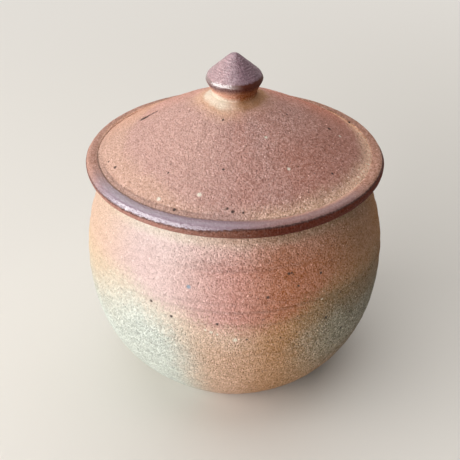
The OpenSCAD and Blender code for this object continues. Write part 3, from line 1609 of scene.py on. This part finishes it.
@dataclass
class Piece(ABC):
    """One turned piece: it is built on the wheel, dressed, and handed to the frame.

    Attributes:
        node: The CAD node that it stands for.
        body: The body that it rides on.
        slot: The record's material slot for the piece; not used.
        finish: Its finish.
        wheel: The wheel that it is turned on.
        sways: Grain and way of each slow sway. Every piece has the same ones, so that seats still meet.
        sway_reach: How far they move the clay at most.
        noises: Grain and reach of each noise that roughens the clay.
    """

    node: str
    body: Body
    slot: Slot
    finish: Stoneware
    wheel: Wheel
    sways: tuple[tuple[float, Sway], ...] = ((48.0, Sway.SIDEWAYS), (55.0, Sway.FORWARDS))
    sway_reach: float = 0.45
    noises: tuple[Pair, ...] = ((6.0, 0.08), (1.6, 0.06))

    @abstractmethod
    def profile(self) -> Profile:
        """Draw the piece's profile, in the object's frame."""

    def spots(self) -> list[Spot]:
        """List the grains and pits that show one by one."""
        return []

    def roughen(self, piece: bpy.types.Object) -> None:
        """Give the clay the unevenness of hand work.

        Args:
            piece: The turned piece, active.
        """
        for grain, way in self.sways:
            self.wheel.roughen(piece, grain, self.sway_reach, way)
        for grain, reach in self.noises:
            self.wheel.roughen(piece, grain, reach)

    def build(self) -> None:
        """Turn, roughen and mark the piece, give it its finish and hand it to the frame."""
        piece = self.wheel.turn("dressed_" + self.node, self.profile())
        self.roughen(piece)
        spots = self.wheel.press(piece, self.spots())
        piece.data.materials.clear()
        piece.data.materials.append(self.finish.material(spots))
        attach(piece, self.body.value)
        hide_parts(self.node)
        log.info("%s: %d faces on body %s", piece.name, len(piece.data.polygons), self.body.value)


@dataclass
class Pot(Piece):
    """The thrown pot: foot ring, belly, lip and the bowl inside.

    Attributes:
        belly_r: Outside radius of the belly.
        belly_h: Height of the belly.
        foot_r: Outside radius of the foot.
        lip_h: Height of the lip.
        lower_fullness: Fullness of the curve below the belly, where 2 is an ellipse.
        upper_fullness: Fullness of the curve above it.
        wall: Thickness of the wall at the belly.
        mouth_r: Radius of the mouth.
        lip_wall: Thickness of the wall at the lip.
        lip_round: Rounding of both edges of the lip.
        floor_top: Height of the floor inside.
        bowl_fullness: Fullness of the bowl inside.
        ring_width: Width of the standing ring.
        recess: Depth of the recess inside that ring.
        foot_bevel: Height of the bevel round the foot.
        foot_lean: How far out that bevel leans, for its height.
        stand_off: How far the ring's face stands off the table.
        seat_gap: How far the lip stays below the lid's seat.
        inset: How far the outside is drawn in, so that the sway stays inside the solid's box.
        grooves: Height and depth of each groove that the throwing has left.
        groove_width: Width of such a groove.
        outside_rings: Rings of the throwing outside.
        inside_rings: Rings of the throwing inside.
        under_rings: Rings of the turning under the floor.
        marks: The grains and pits that show one by one.
    """

    belly_r: float = 54.0
    belly_h: float = 49.0
    foot_r: float = 30.0
    lip_h: float = LIP_HEIGHT
    lower_fullness: float = 2.3
    upper_fullness: float = 1.9
    wall: float = 5.0
    mouth_r: float = MOUTH_RADIUS
    lip_wall: float = 5.5
    lip_round: float = 1.6
    floor_top: float = 8.5
    bowl_fullness: float = 2.8
    ring_width: float = 5.5
    recess: float = 2.5
    foot_bevel: float = 1.0
    foot_lean: float = 0.7
    stand_off: float = 0.1
    seat_gap: float = 0.15
    inset: float = 0.26
    grooves: tuple[Pair, ...] = (
        (53.0, 0.38), (66.5, 0.2), (60.0, 0.12), (49.5, 0.15), (38.0, 0.2), (24.0, 0.2),
    )
    groove_width: float = 0.9
    outside_rings: Rings = Rings(pitch=4.6, depth=0.1)
    inside_rings: Rings = Rings(pitch=7.5, depth=0.4, fade=8.0)
    under_rings: Rings = Rings(pitch=3.1, depth=0.1)
    marks: tuple[Mark, ...] = (
        Mark(MarkKind.BLOOM, -17.0, 61.8, 1.4),
        Mark(MarkKind.IRON, -31.3, 53.0, 1.1),
        Mark(MarkKind.IRON, -22.8, 49.7, 1.1),
        Mark(MarkKind.IRON, -6.0, 49.8, 1.0),
        Mark(MarkKind.IRON, 11.9, 59.3, 1.0),
        Mark(MarkKind.IRON, 23.2, 61.2, 0.9),
        Mark(MarkKind.IRON, 35.1, 45.5, 1.1),
        Mark(MarkKind.IRON, 32.7, 63.3, 1.0),
        Mark(MarkKind.IRON, 44.4, 36.1, 1.0),
        Mark(MarkKind.QUARTZ, 0.3, 43.3, 1.5, -0.1),
        Mark(MarkKind.QUARTZ, 32.8, 53.3, 0.9, -0.1),
        Mark(MarkKind.QUARTZ, -8.8, 46.2, 1.1, -0.1),
        Mark(MarkKind.QUARTZ, -10.6, 46.9, 0.8, -0.1),
        Mark(MarkKind.QUARTZ, -6.2, 45.6, 0.8, -0.1),
        Mark(MarkKind.IRON, 4.3, 43.0, 0.7),
        Mark(MarkKind.IRON, 20.0, 66.0, 0.9),
        Mark(MarkKind.IRON, 21.4, 66.0, 0.7),
        Mark(MarkKind.IRON, 118.0, 58.0, 1.3),
        Mark(MarkKind.IRON, 164.0, 44.0, 1.5),
        Mark(MarkKind.QUARTZ, 195.0, 61.0, 1.2, -0.1),
        Mark(MarkKind.IRON, 236.0, 52.0, 1.2),
        Mark(MarkKind.BLOOM, 262.0, 36.0, 1.4),
    )

    def outside_r(self, height: float) -> float:
        """Give the outside radius at a height.

        Args:
            height: Height above the table.

        Returns:
            The radius.
        """
        if height < self.belly_h:
            axis = half_axis(self.belly_r, self.foot_r, self.belly_h, self.lower_fullness)
            return full_radius(self.belly_r, axis, self.lower_fullness, height - self.belly_h) - self.inset
        return self.shoulder_r(self.belly_r, self.mouth_r + self.lip_wall, height) - self.inset

    def groove(self, height: float) -> float:
        """Give how deep the throwing grooves are at a height.

        Args:
            height: Height above the table.

        Returns:
            The depth.
        """
        return sum(d * math.exp(-((height - h) / self.groove_width) ** 2) for h, d in self.grooves)

    def shoulder_r(self, wide: float, narrow: float, height: float) -> float:
        """Give the radius of a shoulder, outside or inside, at a height.

        Args:
            wide: Its radius at the belly.
            narrow: Its radius at the lip.
            height: Height above the table.

        Returns:
            The radius.
        """
        rise = self.lip_h - self.lip_round - self.belly_h
        axis = half_axis(wide, narrow, rise, self.upper_fullness)
        return full_radius(wide, axis, self.upper_fullness, height - self.belly_h)

    def profile(self) -> Profile:
        """Draw the pot from under its floor, up the outside, over the lip and down the inside.

        Returns:
            The profile.
        """
        ring_in = self.foot_r - self.ring_width
        ring_out = self.foot_r - self.foot_bevel
        bowl_r = self.belly_r - self.wall
        shoulder = self.lip_h - self.lip_round
        lip_top = self.lip_h - self.seat_gap
        rises = shares(400)

        outside = [
            (self.outside_r(h) - self.groove(h), h)
            for h in (self.foot_bevel + (shoulder - self.foot_bevel) * t for t in rises)
        ]
        lip_rise = lip_top - shoulder
        lip_out = (self.mouth_r + self.lip_wall - self.lip_round, shoulder)
        lip = arc(lip_out, self.lip_round - self.inset, lip_rise, 0, 90)
        lip += arc((self.mouth_r + self.lip_round, shoulder), self.lip_round, lip_rise, 90, 180)
        neck = [
            (self.shoulder_r(bowl_r, self.mouth_r, h), h)
            for h in (shoulder + (self.belly_h - shoulder) * t for t in rises)
        ]
        depth = self.belly_h - self.floor_top
        turns = [math.radians(90 * t) for t in rises]
        bowl = [
            (bowl_r * max(0.0, math.cos(a)) ** (2 / self.bowl_fullness),
             self.belly_h - depth * math.sin(a) ** (2 / self.bowl_fullness))
            for a in turns
        ]
        underside = [(0.0, self.recess), (ring_in - self.recess, self.recess)]
        ring = [
            underside[-1],
            (ring_in, self.stand_off),
            (ring_out, self.stand_off),
            (ring_out + self.foot_bevel * self.foot_lean, self.foot_bevel),
        ]

        drawn = Profile()
        drawn.add(self.under_rings.on(evenly(underside, spacing=1.0)), bare=1.0)
        drawn.add(evenly(ring[:2], spacing=0.6), bare=1.0)
        drawn.add(evenly(ring[1:3], spacing=0.8), bare=1.0)
        drawn.add(evenly(ring[2:], spacing=0.4), bare=0.7)
        drawn.add(self.outside_rings.on(evenly(outside, spacing=0.7)), bare=0.0)
        drawn.add(evenly(lip, spacing=0.5), bare=1.0)
        drawn.add(self.inside_rings.on(evenly(neck + bowl[1:], spacing=1.4)), bare=1.0)
        return drawn

    def spots(self) -> list[Spot]:
        """Set the pot's marks on its outside."""
        return [Spot(m, round_place(self.outside_r(m.at), m.azimuth, m.at)) for m in self.marks]


@dataclass
class Lid(Piece):
    """The thrown lid: dome, rolled rim, flat seat and the flange that hangs inside the mouth.

    Heights are over the seat, where no other base is given.

    Attributes:
        seat_h: Height of the seat above the table.
        lid_r: Outside radius.
        edge_h: Height of the widest circle.
        edge_under: Distance in from that circle to the flat underside.
        roll_out: Distance in from that circle to the crest of the rolled rim.
        roll_in: Distance in from the crest to the crease.
        roll_h: Height of the crest over the widest circle.
        bevel_w: Width of the bevel between that circle and the rim's round crown.
        crown_h: Height of the crown's rounding.
        crease_depth: Depth of the crease below the crest.
        crease_sharpness: How sharply the dome turns down into the crease.
        gutter_r: Radius of the shallow gutter inside the crease.
        gutter_width: Width of that gutter.
        gutter_depth: Depth of that gutter.
        slip_r: Outside radius of the slip round the knob's foot.
        slip_in: Radius where the slip is thickest.
        slip_h: Thickness of the slip there.
        dome_top: Height of the dome's flat top.
        dome_foot: Height that the dome comes down to.
        dome_foot_r: Radius where it comes down to it.
        dome_fullness: Fullness of the dome, where 1 is a straight cone.
        knob_foot_r: Radius of the flat top, which is the knob's foot.
        thickness: Thickness of the dome, measured upright.
        flange_play: Play between the flange and the mouth, all round.
        flange_wall: Thickness of the flange.
        flange_depth: Depth of the flange below the seat.
        flange_round: Rounding of the flange's lower edges.
        seat_gap: How far the seat stays above the lip.
        top_rings: Rings of the turning on top.
        under_rings: Rings of the throwing in the hollow.
        marks: The grains and pits that show one by one.
    """

    seat_h: float = LIP_HEIGHT
    lid_r: float = 52.5
    edge_h: float = RIM_HEIGHT
    edge_under: float = 2.4
    roll_out: float = 2.5
    roll_in: float = 1.9
    roll_h: float = 2.1
    bevel_w: float = 0.7
    crown_h: float = 1.1
    crease_depth: float = 0.28
    crease_sharpness: int = 50
    gutter_r: float = 46.3
    gutter_width: float = 1.5
    gutter_depth: float = 0.35
    slip_r: float = 11.2
    slip_in: float = KNOB_NECK
    slip_h: float = 1.1
    dome_top: float = DOME_HEIGHT
    dome_foot: float = 4.6
    dome_foot_r: float = 48.9
    dome_fullness: float = 1.18
    knob_foot_r: float = KNOB_FOOT
    thickness: float = 5.5
    flange_play: float = 0.8
    flange_wall: float = 4.0
    flange_depth: float = 7.0
    flange_round: float = 1.2
    seat_gap: float = 0.1
    top_rings: Rings = Rings(pitch=2.9, depth=0.06)
    under_rings: Rings = Rings(pitch=5.0, depth=0.25)
    marks: tuple[Mark, ...] = (
        Mark(MarkKind.QUARTZ, -16.0, 41.0, 1.4, -0.15),
        Mark(MarkKind.IRON, -102.0, 33.1, 2.8, 0.3),
        Mark(MarkKind.IRON, -103.0, 32.3, 2.1, 0.3),
        Mark(MarkKind.IRON, -104.0, 31.4, 1.9, 0.3),
        Mark(MarkKind.IRON, -104.0, 30.5, 1.8, 0.3),
        Mark(MarkKind.IRON, -104.0, 29.7, 1.7, 0.3),
        Mark(MarkKind.IRON, -103.5, 28.9, 1.4, 0.3),
        Mark(MarkKind.IRON, -66.5, 44.2, 1.2),
        Mark(MarkKind.IRON, -74.0, 44.8, 0.7),
        Mark(MarkKind.IRON, -24.0, 46.5, 1.1),
        Mark(MarkKind.IRON, -3.0, 44.5, 0.9),
        Mark(MarkKind.IRON, -1.5, 45.3, 1.1),
        Mark(MarkKind.IRON, 3.5, 45.5, 0.8),
        Mark(MarkKind.IRON, -15.0, 15.0, 0.9),
        Mark(MarkKind.IRON, -6.5, 32.5, 0.9),
        Mark(MarkKind.IRON, -36.5, 36.8, 0.7),
        Mark(MarkKind.IRON, 52.1, 41.0, 0.9),
        Mark(MarkKind.IRON, 86.5, 33.2, 1.3),
        Mark(MarkKind.IRON, 117.0, 48.3, 1.3),
        Mark(MarkKind.QUARTZ, 84.5, 36.8, 1.0, -0.1),
        Mark(MarkKind.QUARTZ, 27.0, 22.0, 1.0, -0.1),
        Mark(MarkKind.QUARTZ, 30.5, 34.5, 1.1, -0.1),
        Mark(MarkKind.QUARTZ, -33.5, 45.0, 1.3, -0.1),
        Mark(MarkKind.IRON, 152.0, 30.0, 1.2),
        Mark(MarkKind.IRON, 204.0, 41.0, 1.1),
    )

    @property
    def crown_r(self) -> float:
        """Give the half-width of the rim's round crown."""
        return self.roll_out - self.bevel_w

    @property
    def crown_turn(self) -> float:
        """Give the angle at which the rim's bevel meets its crown."""
        foot = (self.roll_out / self.crown_r, 1 - self.roll_h / self.crown_h)
        return math.degrees(math.atan2(foot[1], foot[0]) + math.acos(1 / math.hypot(*foot)))

    @property
    def flange_r(self) -> float:
        """Give the outside radius of the flange."""
        return MOUTH_RADIUS - self.flange_play

    @property
    def crease_r(self) -> float:
        """Give the radius of the crease inside the rolled rim."""
        return self.lid_r - self.roll_out - self.roll_in

    def dome_z(self, radius: float) -> float:
        """Give the dome's height above the seat.

        Args:
            radius: Distance from the axis.

        Returns:
            The height.
        """
        out = max(0.0, radius - self.knob_foot_r) / (self.dome_foot_r - self.knob_foot_r)
        return self.dome_foot + (self.dome_top - self.dome_foot) * (1 - out ** self.dome_fullness)

    def top_z(self, radius: float) -> float:
        """Give the height of the lid's top: the dome, with its gutter, its crease and the slip on it.

        Args:
            radius: Distance from the axis.

        Returns:
            The height above the seat.
        """
        sunk = self.edge_h + self.roll_h - self.crease_depth - self.dome_z(self.crease_r)
        crease = sunk * (radius / self.crease_r) ** self.crease_sharpness
        gutter = self.gutter_depth * math.exp(-((radius - self.gutter_r) / self.gutter_width) ** 2)
        return self.dome_z(radius) + crease - gutter + self.slip_z(radius)

    def slip_z(self, radius: float) -> float:
        """Give the thickness of the slip that is smoothed round the knob's foot.

        Args:
            radius: Distance from the axis.

        Returns:
            The thickness.
        """
        share = (self.slip_r - radius) / (self.slip_r - self.slip_in)
        return self.slip_h * min(1.0, max(0.0, share)) ** 2

    def profile(self) -> Profile:
        """Draw the lid from its hollow, round the flange, the seat and the rim, and up the dome.

        Returns:
            The profile.
        """
        flange_in = self.flange_r - self.flange_wall
        crest_r = self.lid_r - self.roll_out
        crest_z = self.edge_h + self.roll_h
        crease_z = crest_z - self.crease_depth
        under_r = self.lid_r - self.edge_under
        runs = shares(200)
        hollow = [(flange_in * t, self.dome_z(flange_in * t) - self.thickness) for t in runs]
        corner = self.flange_round
        corner_z = corner - self.flange_depth
        flange = arc((flange_in + corner, corner_z), corner, corner, 180, 270)
        flange += arc((self.flange_r - corner, corner_z), corner, corner, 270, 360)
        seat = [(self.flange_r, self.seat_gap), (under_r, self.seat_gap)]
        rim = arc((under_r, self.edge_h), self.edge_under, self.edge_h - self.seat_gap, 270, 360)
        rim += arc((crest_r, crest_z - self.crown_h), self.crown_r, self.crown_h, self.crown_turn, 90)
        rim += arc((crest_r, crease_z), self.roll_in, self.crease_depth, 90, 180)
        apron_r = self.gutter_r - 2 * self.gutter_width
        apron = [(r, self.top_z(r)) for r in (self.crease_r + (apron_r - self.crease_r) * t for t in runs)]
        dome = [(apron_r * (1 - t), self.top_z(apron_r * (1 - t))) for t in runs]

        drawn = Profile()
        drawn.add(self.under_rings.on(evenly(hollow, spacing=1.3)), bare=1.0)
        drawn.add(evenly([hollow[-1], flange[0]], spacing=1.3), bare=1.0)
        drawn.add(evenly(flange, spacing=0.6), bare=1.0)
        drawn.add(evenly([flange[-1], seat[0]], spacing=1.3), bare=1.0)
        drawn.add(evenly(seat, spacing=1.2), bare=1.0)
        drawn.add(evenly(rim, spacing=0.32), bare=0.0)
        drawn.add(evenly(apron, spacing=0.35), bare=0.0)
        drawn.add(self.top_rings.on(evenly(dome, spacing=0.85)), bare=0.0)
        return drawn.raised(self.seat_h)

    def spots(self) -> list[Spot]:
        """Set the lid's marks on its top."""
        return [
            Spot(m, round_place(m.at, m.azimuth, self.seat_h + self.top_z(m.at)))
            for m in self.marks
        ]


@dataclass
class Knob(Piece):
    """The pointed knob, luted on the flat top of the lid. Heights are over that top.

    Attributes:
        foot_z: Height of the lid's top above the table.
        foot_r: Radius of the foot.
        foot_edge: Thickness of the foot's edge.
        neck_r: Radius of the neck.
        neck_h: Height of the neck.
        knob_r: Radius of the widest circle.
        edge_h: Height of that circle.
        tip_h: Height of the tip.
        side_fullness: Fullness of the side between the neck and that circle, where 1 is an even S.
        edge_round: Radius of the round edge.
        tip_round: Radius of the round tip.
        facet: Angles on the round edge between which it is flat, in degrees.
        cone_rings: Rings of the turning on the cone.
    """

    noises: tuple[Pair, ...] = ((5.0, 0.06),)
    foot_z: float = LAND_HEIGHT
    foot_r: float = KNOB_FOOT
    foot_edge: float = 0.3
    neck_r: float = KNOB_NECK
    neck_h: float = 0.9
    knob_r: float = KNOB_RADIUS
    edge_h: float = KNOB_EDGE
    tip_h: float = 15.72
    side_fullness: float = 0.75
    edge_round: float = 2.3
    tip_round: float = 2.8
    facet: Span = (4.0, 44.0)
    cone_rings: Rings = Rings(pitch=0.95, depth=0.08, fade=1.0)

    def side_r(self, height: float) -> float:
        """Give the radius between the neck and the widest circle.

        Args:
            height: Height above the lid.

        Returns:
            The radius.
        """
        below = max(0.0, self.edge_h - height) / (self.edge_h - self.neck_h)
        swell = (1 + math.cos(math.pi * below ** self.side_fullness)) / 2
        return self.neck_r + (self.knob_r - self.neck_r) * swell

    def profile(self) -> Profile:
        """Draw the knob from its foot to its tip.

        Returns:
            The profile.
        """
        run = (self.knob_r - self.edge_round, self.tip_h - self.tip_round - self.edge_h)
        lean = math.asin((self.edge_round - self.tip_round) / math.hypot(*run))
        turn = math.degrees(math.atan2(*run) + lean)
        foot_w = self.foot_r - self.neck_r
        flare = arc((self.foot_r, self.neck_h), foot_w, self.neck_h - self.foot_edge, 270, 180)
        heights = [self.neck_h + (self.edge_h - self.neck_h) * t for t in shares(100)]
        side = [(self.side_r(h), h) for h in heights]
        edge = arc((run[0], self.edge_h), self.edge_round, self.edge_round, 0, self.facet[0])
        edge += arc((run[0], self.edge_h), self.edge_round, self.edge_round, self.facet[1], turn)
        tip = arc((0.0, self.tip_h - self.tip_round), self.tip_round, self.tip_round, turn, 90)

        drawn = Profile()
        drawn.add(evenly([(0.0, 0.0), (self.foot_r, 0.0)], spacing=1.0), bare=0.0)
        drawn.add(evenly([(self.foot_r, 0.0)] + flare, spacing=0.25), bare=0.0)
        drawn.add(evenly(side, spacing=0.3), bare=0.0)
        drawn.add(evenly(edge, spacing=0.25), bare=0.0)
        drawn.add(self.cone_rings.on(evenly([edge[-1], tip[0]], spacing=0.16)), bare=0.0)
        drawn.add(evenly(tip, spacing=0.2), bare=0.0)
        return drawn.raised(self.foot_z)


@dataclass(frozen=True)
class Lamp:
    """A soft oblong lamp that points at the pot.

    Attributes:
        name: Its name.
        azimuth: Where it stands round the pot, in degrees.
        elevation: How high it stands, in degrees.
        distance: How far from the pot it is, in metres.
        width: Its width, in metres.
        height: Its height, in metres.
        power: Its power in watts.
    """

    name: str
    azimuth: float
    elevation: float
    distance: float
    width: float
    height: float
    power: float


@dataclass
class Studio:
    """The pale floor, the lamps, the world and the camera at the photograph's angle, in metres.

    Attributes:
        floor_colour: Colour of the floor.
        floor_roughness: Its roughness.
        floor_specular: Strength of its reflections.
        floor_radius: Its radius.
        floor_near: Radius at which it starts to fade into the background.
        floor_far: Radius at which it has faded.
        background: Colour of the background.
        ambient: How bright the light is that fills the room.
        aim: What the lamps point at.
        lamps: The lamps.
        target: What the camera points at.
        view_elevation: How far the camera looks down, in degrees.
        view_distance: How far it is from its target.
        lens: Its focal length, in millimetres.
        sensor: Its width, in millimetres.
        clip_start: The nearest that it sees.
    """

    floor_colour: str = "#e6e1d9"
    floor_roughness: float = 0.85
    floor_specular: float = 0.2
    floor_radius: float = 4.0
    floor_near: float = 0.2
    floor_far: float = 0.6
    background: str = "#e4e0da"
    ambient: float = 0.09
    aim: Vector = field(default_factory=lambda: Vector((0.0, 0.0, 62 * MM)))
    lamps: tuple[Lamp, ...] = (
        Lamp("window", azimuth=-56, elevation=18, distance=0.95, width=1.6, height=0.5, power=14.3),
        Lamp("ceiling", azimuth=-178, elevation=68, distance=1.3, width=2.0, height=2.0, power=16.5),
    )
    target: Vector = field(default_factory=lambda: Vector((-1.6, 0.0, 52.43)) * MM)
    view_elevation: float = 32.1
    view_distance: float = 371.2 * MM
    lens: float = 78.26
    sensor: float = 36.0
    clip_start: float = 0.01

    def lay_floor(self) -> None:
        """Lay the pale floor that the pot stands on, which fades into the background further off."""
        bpy.ops.object.select_all(action="DESELECT")
        bpy.ops.mesh.primitive_circle_add(vertices=96, radius=self.floor_radius, fill_type="NGON")
        floor = bpy.context.object
        floor.name = "floor"
        bench = FinishBench("pale_floor")
        near = bench.node("ShaderNodeBsdfPrincipled")
        bench.feed(near.inputs["Base Color"], self.floor_colour)
        near.inputs["Roughness"].default_value = self.floor_roughness
        near.inputs["Specular IOR Level"].default_value = self.floor_specular
        far = bench.node("ShaderNodeEmission")
        bench.feed(far.inputs["Color"], self.background)
        away = bench.step(bench.radius, self.floor_near / MM, self.floor_far / MM)
        surface = bench.node("ShaderNodeMixShader")
        bench.feed(surface.inputs[0], bench.times(away, self.seen(bench.tree)))
        bench.feed(surface.inputs[1], near.outputs[0])
        bench.feed(surface.inputs[2], far.outputs[0])
        output = bench.node("ShaderNodeOutputMaterial")
        bench.feed(output.inputs["Surface"], surface.outputs[0])
        bench.material.cycles.emission_sampling = "NONE"
        floor.data.materials.append(bench.material)

    def seen(self, tree: bpy.types.NodeTree) -> Socket:
        """Tell the rays that show the background, those of the camera, of gloss and of glass, from others.

        Args:
            tree: The node tree that asks.

        Returns:
            1 for such a ray, and 0 for another.
        """
        path = tree.nodes.new("ShaderNodeLightPath")
        answer = path.outputs["Is Camera Ray"]
        for ray in ("Is Glossy Ray", "Is Transmission Ray"):
            either = tree.nodes.new("ShaderNodeMath")
            either.operation = "MAXIMUM"
            tree.links.new(answer, either.inputs[0])
            tree.links.new(path.outputs[ray], either.inputs[1])
            answer = either.outputs[0]
        return answer

    def hang_lamps(self) -> None:
        """Hang the lamps, each turned towards the pot."""
        for lamp in self.lamps:
            flat = math.cos(math.radians(lamp.elevation)) * lamp.distance
            rise = math.sin(math.radians(lamp.elevation)) * lamp.distance
            away = round_place(flat, lamp.azimuth, rise)
            turn = (-away).to_track_quat("-Z", "Y").to_euler()
            bpy.ops.object.light_add(type="AREA", location=self.aim + away, rotation=turn)
            light = bpy.context.object
            light.name = lamp.name
            light.data.shape = "RECTANGLE"
            light.data.size = lamp.width
            light.data.size_y = lamp.height
            light.data.energy = lamp.power

    def light_world(self) -> None:
        """Fill the room with a little light, and show a pale background to the camera and to gloss."""
        world = bpy.data.worlds.new("studio")
        bpy.context.scene.world = world
        world.use_nodes = True
        tree = world.node_tree
        shader = tree.nodes["Background"]
        colour = tree.nodes.new("ShaderNodeMix")
        colour.data_type = "RGBA"
        tree.links.new(self.seen(tree), colour.inputs[0])
        colour.inputs[MIX_UNDER].default_value = (self.ambient, self.ambient, self.ambient, 1.0)
        colour.inputs[MIX_OVER].default_value = linear(self.background)
        tree.links.new(colour.outputs[MIX_RESULT], shader.inputs["Color"])
        shader.inputs["Strength"].default_value = 1.0

    def set_camera(self) -> None:
        """Set the camera where the photograph was taken from."""
        tilt = math.radians(self.view_elevation)
        away = Vector((0.0, -math.cos(tilt), math.sin(tilt))) * self.view_distance
        turn = (math.pi / 2 - tilt, 0.0, 0.0)
        bpy.ops.object.camera_add(location=self.target + away, rotation=turn)
        camera = bpy.context.object
        camera.name = "photo_camera"
        camera.data.lens = self.lens
        camera.data.sensor_width = self.sensor
        camera.data.clip_start = self.clip_start
        bpy.context.scene.camera = camera
        bpy.context.scene.view_settings.view_transform = "Standard"

    def build(self) -> None:
        """Set up the whole studio."""
        self.set_camera()
        self.lay_floor()
        self.hang_lamps()
        self.light_world()
        log.info("studio: %d lamps", len(self.lamps))


def main() -> None:
    """Build the studio and the three pieces in order."""
    logging.basicConfig(level=logging.INFO, format="%(name)s: %(message)s")
    Studio().build()
    pieces: list[Piece] = [
        Pot("pot", Body.POT, Slot.POT, PotFinish(), Wheel(segments=340)),
        Lid("lid", Body.LID, Slot.LID, LidFinish(), Wheel(segments=340)),
        Knob("knob", Body.LID, Slot.KNOB, KnobFinish(), Wheel(segments=144)),
    ]
    for piece in pieces:
        piece.build()


if __name__ == "__main__":
    main()
